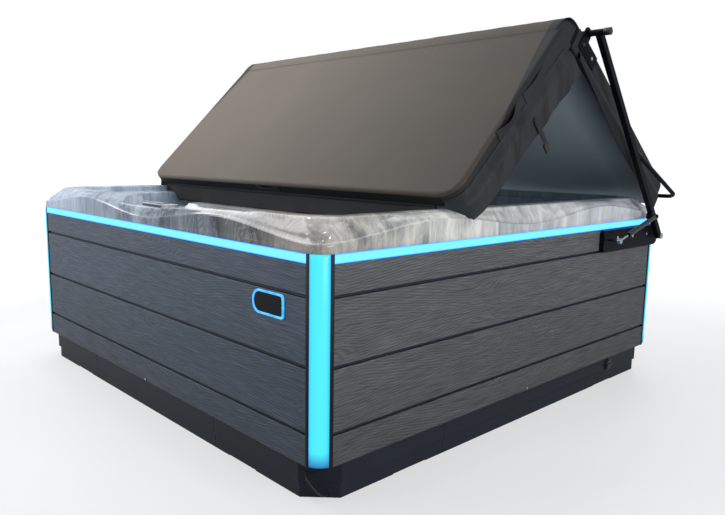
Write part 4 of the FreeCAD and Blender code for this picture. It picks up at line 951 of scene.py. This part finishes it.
# Painted shade: the top's side edges are painted the sides' dark in a long wedge that is widest at the fold.
from_fold = top_vinyl.distance(fold, weights=(0, 1, 1))
wedge_width, wedge_length, wedge_blur = 0.075, 0.55, 0.0008
wedge = top_vinyl.scaled(from_fold, wedge_width, 0.0, 0.0, wedge_length)
shade_wedge_reach = top_vinyl.sum(top_vinyl.magnitude(top_vinyl.axis("X")), wedge)
in_shade_wedge = top_vinyl.scaled(shade_wedge_reach, 0.0, 1.0, cover_half_width - wedge_blur, cover_half_width + wedge_blur)
top_vinyl.feed("Base Color", top_vinyl.mix(in_shade_wedge, painted_falloff_tone, (0.012, 0.0135, 0.0142)))
# Small creases run down from the fold, where the vinyl is drawn over it.
creases = top_vinyl.noise(top_vinyl.stretched((34, 3, 3)), 1.0, 3.0, 0.55, 0.6)
crease_start, crease_end = 0.1, 0.26
near_fold = top_vinyl.scaled(from_fold, 1.0, 0.0, crease_start, crease_end)
top_vinyl.relief(top_vinyl.product(creases, near_fold), 0.5, 0.006)
# Painted shade: the jacket's sides and underside are painted dark grey and its front end black, shaded copies
# of the top's vinyl for the shade these faces are in.
shade_side_vinyl = vinyl_finish("cover_side_vinyl", (0.014, 0.0165, 0.0185), (0.024, 0.027, 0.03), 0.6)
shade_black_vinyl = vinyl_finish("cover_black_vinyl", (0.0025, 0.003, 0.0038), (0.006, 0.0068, 0.008), 0.62)
jacket_finishes = [top_vinyl, shade_side_vinyl, shade_black_vinyl, shade_side_vinyl]
for half_cover, word, body in cover_halves:
    jacket = sewn_slab(word + "_jacket", half_cover, 0.0, 0.0012, 0.014, 0.010, jacket_finishes)
    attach(jacket, body)
    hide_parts(word + "_cover_jacket")

lining_film = Finish("lining_film", (0.06, 0.095, 0.105), 0.42)
film_drift = lining_film.noise(lining_film.place, 1.6, 3.0)
# Painted shade: the film is painted darker low down and lighter higher up, for the shade under the cover.
film_height = lining_film.sum(lining_film.axis("Z"), lining_film.scaled(film_drift, -0.12, 0.12))
painted_height_shade = lining_film.ramp(lining_film.scaled(film_height, 0.0, 1.0, 0.85, 1.45),
                             (0.0, (0.38, 0.48, 0.52)), (0.5, (0.6, 0.72, 0.76)))
# Painted shadow: the film is painted darker towards its side edges, for the skirts' shadow on it.
edge_drift = lining_film.scaled(film_drift, -0.06, 0.06)
to_edge = lining_film.sum(lining_film.magnitude(lining_film.axis("X")), edge_drift)
painted_edge_shadow = lining_film.scaled(to_edge, 0.0, 0.88, 0.9, 1.08)
lining_film.feed("Base Color", lining_film.mix(painted_edge_shadow, painted_height_shade, (0.03, 0.045, 0.08)))
lining_film.roughen(film_drift, 0.34, 0.5)
lining_film.relief(lining_film.noise(lining_film.stretched((6, 22, 22)), 1.0, 3.0), 0.2, 0.002)
for half_cover, word, body in cover_halves:
    film = sewn_slab(word + "_lining", half_cover, 0.018, -0.0004, 0.0008, 0.0008, [lining_film],
                     high=0.0024, loose=0.6)
    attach(film, body)
    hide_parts(word + "_cover_lining")

# Fold band
# A wide vinyl band sewn to the tops of both halves, which bends round the fold. Gussets close the
# ends of the fold under it.


def grid_faces(first, columns, rows, flipped=False):
    """Quads of a grid whose points run down one column after another."""
    quads = []
    for column in range(columns):
        for row in range(rows):
            corner = first + column * (rows + 1) + row
            quad = (corner, corner + 1, corner + rows + 2, corner + rows + 1)
            quads.append(quad[::-1] if flipped else quad)
    return quads


band_reach = cover_half_width - 0.012
band_flap = 0.036
band_steps, flap_steps = 26, 4
band_lift, flap_tuck = 0.0011, 0.0030
band_ridge = 0.006
band_pucker = 0.0016
turn_start = math.atan2(rear_half.up.z, rear_half.up.y)
turn_end = math.atan2(front_half.up.z, front_half.up.y)
band_line = []
for step in range(flap_steps + 1):
    along = band_flap * (1 - step / flap_steps)
    lift = band_lift - flap_tuck * (along / band_flap) ** 2
    band_line.append(rear_half.spot(0, along, rear_half.top(along) + lift) - fold)
for step in range(1, band_steps):
    angle = turn_start + (turn_end - turn_start) * step / band_steps
    ridge = band_ridge * math.sin(math.pi * step / band_steps) ** 2
    band_line.append(Vector((0, math.cos(angle), math.sin(angle))) * (fold_thickness + band_lift + ridge))
for step in range(flap_steps + 1):
    along = band_flap * step / flap_steps
    lift = band_lift - flap_tuck * (along / band_flap) ** 2
    band_line.append(front_half.spot(0, along, front_half.top(along) + lift) - fold)
band_columns, band_rows = 110, len(band_line) - 1
band_points = []
for column in range(band_columns + 1):
    x = -band_reach + 2 * band_reach * column / band_columns
    for row, offset in enumerate(band_line):
        share = row / band_rows
        pucker = band_pucker * math.sin(math.pi * share) * noise.noise(Vector((x * 16, share * 3, 2.0)))
        band_points.append(fold + Vector((x, 0, 0)) + offset * (1 + pucker / fold_thickness))
band = mesh_piece("fold_cover_band", band_points, grid_faces(0, band_columns, band_rows), top_vinyl)
gusset_points, gusset_faces = [], []
gusset_rings = 8
gusset_core, gusset_span = 0.004, fold_thickness - 0.005
gusset_inset, gusset_sink, gusset_pucker = 0.006, 0.010, 0.002
for side in (1, -1):
    first = len(gusset_points)
    for step in range(band_steps + 1):
        angle = turn_start + (turn_end - turn_start) * step / band_steps
        spoke = Vector((0, math.cos(angle), math.sin(angle)))
        for ring in range(gusset_rings + 1):
            radius = gusset_core + gusset_span * ring / gusset_rings
            sink = gusset_sink * math.sin(math.pi * step / band_steps) * (1 - ring / gusset_rings * 0.4)
            pucker = gusset_pucker * math.sin(step * 1.9) * ring / gusset_rings
            x = side * (band_reach - gusset_inset - sink + pucker)
            gusset_points.append(fold + spoke * radius + Vector((x, 0, 0)))
    gusset_faces += grid_faces(first, band_steps, gusset_rings, side > 0)
gussets = mesh_piece("fold_gussets", gusset_points, gusset_faces, shade_side_vinyl)


def thicken(piece, thickness):
    """Gives a sheet its thickness, half to either side."""
    solid = piece.modifiers.new("thickness", "SOLIDIFY")
    solid.thickness = thickness
    solid.offset = 0.0


band_thickness = 0.0014
for piece in (band, gussets):
    thicken(piece, band_thickness)
    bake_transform(piece)
    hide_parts("fold_band")

# Skirts
# Flaps of vinyl in the sides' dark painted-shade tone, sewn along the sides of both halves. They hang
# outside the lip in soft folds, gathered near the fold, and the front ones end in a loose tip at the
# corner. The rear ones are cut back towards the fold, so that they pass.


def outline_place(half_cover, run):
    """Follows a half's side from the fold and then round its corner: x, distance along, outward way."""
    straight_end = half_cover.length - plan_corner
    if run <= straight_end:
        return cover_half_width, run, Vector((1, 0, 0))
    angle = (run - straight_end) / plan_corner
    x = cover_half_width - plan_corner + plan_corner * math.cos(angle)
    along = straight_end + plan_corner * math.sin(angle)
    return x, along, Vector((math.cos(angle), 0, 0)) + half_cover.along * math.sin(angle)


skirt_start, skirt_seam, skirt_settled = 0.050, 0.033, -0.012
skirt_columns, skirt_rows = 130, 20
skirt_thickness = 0.0016
skirt_off, hem_sag, hem_slant = 0.001, 0.002, 0.012
gather_length = 0.4
least_drop = 0.012


def side_skirt(name, half_cover, side, end, drops, out, fold_depth, finish, billow=0.0, cut_back=None):
    """A skirt sewn on from its start near the fold to its end, with a drop at either end."""
    points = []
    for column in range(skirt_columns + 1):
        run = skirt_start + (end - skirt_start) * column / skirt_columns
        x, along, outward = outline_place(half_cover, run)
        drop = drops[0] + (drops[1] - drops[0]) * run / end
        if cut_back:
            drop = min(drop, least_drop + cut_back * run)
        gather = 1.0 - min(1.0, (run - skirt_start) / gather_length)
        drift = noise.noise(Vector((run * 5.0, 3.0 if side > 0 else 5.0, 0)))
        slow_wave, quick_wave = math.sin(run * 17.5 + 0.8), math.sin(run * 33.0 + 2.0)
        wave = 0.55 * slow_wave + (0.2 + 0.5 * gather) * quick_wave + 0.5 * drift
        for row in range(skirt_rows + 1):
            share = row / skirt_rows
            level = skirt_seam - (skirt_seam + drop) * share
            fall = min(1.0, max(0.0, (skirt_seam - level) / (skirt_seam - skirt_settled)))
            loose = share * share
            hanging_fold = 0.5 + 0.5 * math.sin((run - 0.5 * drop * share) * 62.0 + 0.6)
            reach = skirt_off + out * fall * fall * (3 - 2 * fall) + fold_depth * loose * wave
            reach += billow * share * gather * hanging_fold
            slant = hem_slant * loose * math.sin(run * 9.0)
            place = half_cover.spot(x, along + slant, level - hem_sag * loose * wave) + outward * reach
            points.append((side * place.x, place.y, place.z))
    skirt = mesh_piece(name, points, grid_faces(0, skirt_columns, skirt_rows, side < 0), finish)
    thicken(skirt, skirt_thickness)
    return skirt


front_drops, rear_drops = (0.095, 0.066), (0.082, 0.070)
# Painted shade: the rear skirts are a darker copy of the sides' vinyl, for the deeper shade they hang in.
painted_shade_rear_vinyl = vinyl_finish("rear_skirt_vinyl", (0.008, 0.0105, 0.0125), (0.014, 0.017, 0.02), 0.6)
# Painted light and shade: the front skirts keep the sides' dark painted-shade tone, painted lighter and
# darker along the folds of their drape.
hanging_vinyl = vinyl_finish("front_skirt_vinyl", (0.014, 0.0165, 0.0185), (0.024, 0.027, 0.03), 0.6)
drape = hanging_vinyl.noise(hanging_vinyl.stretched((3, 17, 4)), 1.0, 2.0, 0.45, 0.5)
painted_drape_light = hanging_vinyl.ramp(drape, (0.36, (0.5, 0.5, 0.5)), (0.62, (1.35, 1.35, 1.35)))
hanging_vinyl.feed("Base Color", hanging_vinyl.mix(1.0, hanging_vinyl.tone(), painted_drape_light, "MULTIPLY"))
hanging_vinyl.relief(drape, 0.8, 0.02)
corner_turn = 1.25
front_end = front_half.length - plan_corner + plan_corner * corner_turn
rear_end = rear_half.length - plan_corner
for side, word in ((1, "right"), (-1, "left")):
    skirt = side_skirt("front_skirt_" + word, front_half, side, front_end, front_drops, 0.027, 0.0035,
                       hanging_vinyl, billow=0.006)
    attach(skirt, "front_cover")
    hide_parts("front_cover_skirts")
    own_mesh(skirt)
    skirt = side_skirt("rear_skirt_" + word, rear_half, side, rear_end, rear_drops, 0.0165, 0.0012,
                       painted_shade_rear_vinyl, cut_back=0.112)
    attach(skirt, "lifter")
    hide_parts("rear_cover_skirts")

# Front flap
# A flap sewn to the front edge, in the front end's black vinyl of painted shade. It hangs plumb inside the
# rim in shallow folds, and is cut shorter at the ends, where it comes down on the shelf.
flap_half, flap_drop, flap_end_drop = 0.985, 0.084, 0.030
flap_columns, flap_rows = 150, 12
shelf_start, shelf_blend = 0.845, 0.045
flap_seam, flap_off = 0.012, 0.0012
flap_lean, flap_belly = 0.004, 0.0045
flap_points = []
for column in range(flap_columns + 1):
    x = -flap_half + 2 * flap_half * column / flap_columns
    wave = math.sin(x * 20.0) * 0.6 + math.sin(x * 43.0 + 1.0) * 0.3 + noise.noise(Vector((x * 7, 11.0, 0)))
    on_shelf = min(1.0, max(0.0, (abs(x) - shelf_start) / shelf_blend))
    drop = flap_drop + (flap_end_drop - flap_drop) * on_shelf * on_shelf * (3 - 2 * on_shelf)
    head = front_half.spot(x, front_half.length + flap_off, flap_seam)
    edge = front_half.spot(x, front_half.length + flap_off, 0.0)
    for row in range(flap_rows + 1):
        share = row / flap_rows
        if row == 0:
            flap_points.append(head)
            continue
        hang = drop * (share - 1 / flap_rows) * (1 + 0.03 * wave)
        swing = -flap_lean * share - flap_belly * share * share * (1 + wave)
        flap_points.append(edge + Vector((0, swing, -hang)))
flap = mesh_piece("front_flap", flap_points, grid_faces(0, flap_columns, flap_rows), shade_black_vinyl)
thicken(flap, skirt_thickness)
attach(flap, "front_cover")
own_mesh(flap)
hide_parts("front_cover_skirts")

# Handles
# Pockets of doubled vinyl sewn to the edges of the front half on three sides, in the sides' dark
# painted-shade tone. The free upper edge bows out to make the grip, and a black patch behind it is
# painted shadow in the slit.


grip_columns, grip_rows = 28, 12
grip_off = 0.0016


def grip(points, faces, corner_spot, along_way, up_way, out_way, size, bow, dip):
    """One sewn pocket: a patch whose upper edge stands away from the cover."""
    first = len(points)
    for column in range(grip_columns + 1):
        share = column / grip_columns
        middle = 1 - (2 * share - 1) ** 2
        for row in range(grip_rows + 1):
            rise = row / grip_rows
            out = grip_off + bow * middle ** 1.5 * rise ** 1.6
            height = size[1] * rise - dip * middle ** 1.5 * rise ** 2
            points.append(corner_spot + along_way * size[0] * share + up_way * height + out_way * out)
    for column in range(grip_columns):
        for row in range(grip_rows):
            corner = first + column * (grip_rows + 1) + row
            faces.append((corner, corner + grip_rows + 1, corner + grip_rows + 2, corner + 1))


grip_points, grip_faces = [], []
slit_points, slit_faces = [], []
grip_places = []
side_size, side_level = (0.165, 0.046), 0.028
front_size, front_level = (0.170, 0.036), 0.016
for side in (1, -1):
    out_way = Vector((side, 0, 0))
    for start, bow, dip in ((0.220, 0.006, 0.006), (0.432, 0.017, 0.014)):
        foot = front_half.spot(side * cover_half_width, start, side_level)
        grip_places.append((foot, front_half.along, front_half.up, out_way, side_size, bow, dip))
foot = front_half.spot(-front_size[0] / 2, front_half.length, front_level)
grip_places.append((foot, Vector((1, 0, 0)), front_half.up, front_half.along, front_size, 0.010, 0.010))
# Painted shadow: a thin black patch sunk just behind each grip stands for the shade in its slit.
slit_inset, slit_sink, slit_bow = 0.008, 0.0010, 0.0004
slit_foot_share, slit_height_share = 0.3, 0.68
for foot, along_way, up_way, out_way, size, bow, dip in grip_places:
    grip(grip_points, grip_faces, foot, along_way, up_way, out_way, size, bow, dip)
    slit_foot = foot + along_way * slit_inset + up_way * size[1] * slit_foot_share - out_way * slit_sink
    slit_size = (size[0] - 2 * slit_inset, size[1] * slit_height_share)
    grip(slit_points, slit_faces, slit_foot, along_way, up_way, out_way, slit_size, slit_bow, 0.0)
handles = mesh_piece("cover_grips", grip_points, grip_faces, shade_side_vinyl)
grip_thickness, slit_thickness = 0.0022, 0.001
thicken(handles, grip_thickness)
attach(handles, "front_cover")
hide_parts("cover_handles")
slit_shadows = mesh_piece("grip_slit_shadows", slit_points, slit_faces, shade_black_vinyl)
thicken(slit_shadows, slit_thickness)
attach(slit_shadows, "front_cover")

# Lock straps
# Woven straps sewn to the outside of the front skirts, each ending in a side-release buckle that
# hangs below the hem.
webbing = Finish("strap_webbing", (0.01, 0.011, 0.012), 0.8)
weave = webbing.noise(webbing.stretched((900, 420, 420)), 1.0, 2.0)
webbing.feed("Base Color", webbing.ramp(weave, (0.35, (0.003, 0.003, 0.004)), (0.65, (0.008, 0.008, 0.009))))
webbing.relief(weave, 0.5, 0.0006)
strap_points, strap_faces = [], []
strap_rows = 22
strap_top, strap_hang = -0.018, 0.121
strap_place, strap_reach = 0.415, 1.1252
strap_width, strap_thickness = 0.022, 0.0016
strap_sway, strap_cup = 0.0016, 0.0004
strap_shares = (-1.0, -0.5, 0.0, 0.5, 1.0)
for side in (1, -1):
    first = len(strap_points)
    for row in range(strap_rows + 1):
        share = row / strap_rows
        level = strap_top - strap_hang * share
        sway = strap_sway * math.sin(2.6 * share)
        for across_share in strap_shares:
            along = strap_place + strap_width / 2 * across_share + 0.003 * math.sin(3.0 * share)
            cup = strap_cup * (1 - across_share * across_share)
            strap_points.append(front_half.spot(side * (strap_reach + sway + cup), along, level))
    strap_faces += grid_faces(first, strap_rows, len(strap_shares) - 1, side < 0)
straps = mesh_piece("lock_strap_webbing", strap_points, strap_faces, webbing)
thicken(straps, strap_thickness)
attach(straps, "front_cover")
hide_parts("lock_straps")

# Sewing
# Rows of thread along the seams: below the top edges of both halves, along the band and round the
# handles.


def stitch_tree():
    """A node group that lays stitches along the edges of a mesh."""
    tree = bpy.data.node_groups.new("stitches", "GeometryNodeTree")
    tree.interface.new_socket("Seams", in_out="INPUT", socket_type="NodeSocketGeometry")
    for label in ("Spacing", "Stitch Length", "Thread Radius"):
        tree.interface.new_socket(label, in_out="INPUT", socket_type="NodeSocketFloat")
    tree.interface.new_socket("Thread", in_out="INPUT", socket_type="NodeSocketMaterial")
    tree.interface.new_socket("Stitches", in_out="OUTPUT", socket_type="NodeSocketGeometry")
    made = {}
    for label, kind in (("given", "NodeGroupInput"), ("path", "GeometryNodeMeshToCurve"),
                        ("places", "GeometryNodeResampleCurve"), ("way", "GeometryNodeInputTangent"),
                        ("turn", "FunctionNodeAlignRotationToVector"), ("bead", "GeometryNodeMeshUVSphere"),
                        ("size", "ShaderNodeCombineXYZ"), ("lay", "GeometryNodeInstanceOnPoints"),
                        ("real", "GeometryNodeRealizeInstances"), ("colour", "GeometryNodeSetMaterial"),
                        ("result", "NodeGroupOutput")):
        made[label] = tree.nodes.new(kind)
    made["places"].mode = "LENGTH"
    made["turn"].axis = "X"
    made["bead"].inputs["Segments"].default_value = 6
    made["bead"].inputs["Rings"].default_value = 4
    made["bead"].inputs["Radius"].default_value = 1.0
    for first, first_socket, second, second_socket in (
            ("given", "Seams", "path", "Mesh"), ("path", "Curve", "places", "Curve"),
            ("given", "Spacing", "places", "Length"), ("way", "Tangent", "turn", "Vector"),
            ("given", "Stitch Length", "size", "X"), ("given", "Thread Radius", "size", "Y"),
            ("given", "Thread Radius", "size", "Z"), ("places", "Curve", "lay", "Points"),
            ("bead", "Mesh", "lay", "Instance"), ("turn", "Rotation", "lay", "Rotation"),
            ("size", "Vector", "lay", "Scale"), ("lay", "Instances", "real", "Geometry"),
            ("real", "Geometry", "colour", "Geometry"), ("given", "Thread", "colour", "Material"),
            ("colour", "Geometry", "result", "Stitches")):
        tree.links.new(made[first].outputs[first_socket], made[second].inputs[second_socket])
    return tree


thread = Finish("sewing_thread", (0.02, 0.021, 0.022), 0.7)
thread.mottle(300.0, (0.014, 0.015, 0.016), (0.03, 0.031, 0.032))
sewing = stitch_tree()
sockets = {item.name: item.identifier for item in sewing.interface.items_tree if item.in_out == "INPUT"}


def sew(name, seams, body):
    """Stitches along a list of seams, each a list of points, as one mesh."""
    points, edges = [], []
    for seam in seams:
        edges += [(len(points) + step, len(points) + step + 1) for step in range(len(seam) - 1)]
        points += seam
    path = bpy.data.meshes.new(name)
    path.from_pydata(points, edges, [])
    piece = bpy.data.objects.new(name, path)
    scene.collection.objects.link(piece)
    layer = piece.modifiers.new("stitches", "NODES")
    layer.node_group = sewing
    for label, value in (("Spacing", 0.010), ("Stitch Length", 0.0034), ("Thread Radius", 0.0006),
                         ("Thread", thread.material)):
        layer[sockets[label]] = value
    depsgraph = bpy.context.evaluated_depsgraph_get()
    piece.data = bpy.data.meshes.new_from_object(piece.evaluated_get(depsgraph), depsgraph=depsgraph)
    piece.modifiers.remove(layer)
    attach(piece, body)


seam_steps, seam_start = 40, 0.02
seam_falls, seam_insets, seam_margin = (0.018, 0.025), (0.004, 0.011), 0.004
seam_off, band_seam_off, grip_seam_off = 0.0006, 0.0020, 0.0030
for half_cover, word, body in cover_halves:
    seams = []
    straight_end = half_cover.length - plan_corner
    for side in (1, -1):
        edge = side * (cover_half_width + seam_off)
        for fall in seam_falls:
            seam = []
            for step in range(seam_steps + 1):
                along = seam_start + (straight_end - seam_start) * step / seam_steps
                level = half_cover.top(straight_end * step / seam_steps) - fall
                seam.append(half_cover.spot(edge, along, level))
            seams.append(seam)
    for inset in seam_insets:
        along = band_flap - inset
        level = half_cover.top(along) + band_seam_off
        seams.append([half_cover.spot(-band_reach + 2 * band_reach * step / seam_steps, along, level)
                      for step in range(seam_steps + 1)])
    if word == "front":
        for foot, along_way, up_way, out_way, size, bow, dip in grip_places:
            base = foot + out_way * grip_seam_off
            near, far = along_way * seam_margin, along_way * (size[0] - seam_margin)
            low, high = up_way * seam_margin, up_way * (size[1] - seam_margin)
            seams.append([base + near + high, base + near + low, base + far + low, base + far + high])
    sew(word + "_sewing", seams, body)

# Light lead
# A short black lead that leaves the pan's chamfer through a grommet and goes back in near the floor.
# Its route is given along the chamfer, off its face and above the floor.
lead_radius, lead_length = 0.003, 0.15
chamfer_start = Vector((0.995, -1.090, 0))
along_chamfer = Vector((1, 1, 0)).normalized()
off_chamfer = Vector((1, -1, 0)).normalized()
lead_route = [(0.025, -0.006, 0.080), (0.025, 0.027, 0.080), (0.045, 0.036, 0.057), (0.065, 0.031, 0.031),
              (0.084, 0.016, 0.014), (0.092, -0.014, 0.012)]
lead_curve = bpy.data.curves.new("light_lead_cord", "CURVE")
lead_curve.dimensions = "3D"
lead_curve.bevel_depth = lead_radius
lead_curve.bevel_resolution = 4
lead_curve.resolution_u = 24
lead_curve.use_fill_caps = True
spline = lead_curve.splines.new("NURBS")
spline.points.add(len(lead_route) - 1)
for point, (along, off, z) in zip(spline.points, lead_route):
    point.co = (*(chamfer_start + along_chamfer * along + off_chamfer * off + Vector((0, 0, z))), 1)
spline.order_u = 3
spline.use_endpoint_u = True
lead = bpy.data.objects.new("light_lead_cord", lead_curve)
scene.collection.objects.link(lead)
lead_rubber = Finish("lead_rubber", (0.01, 0.01, 0.011), 0.6)
lead_rubber.roughen(lead_rubber.noise(lead_rubber.place, 120.0), 0.5, 0.7)
lead_curve.materials.append(lead_rubber.material)
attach(lead, "tub")
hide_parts("light_lead")
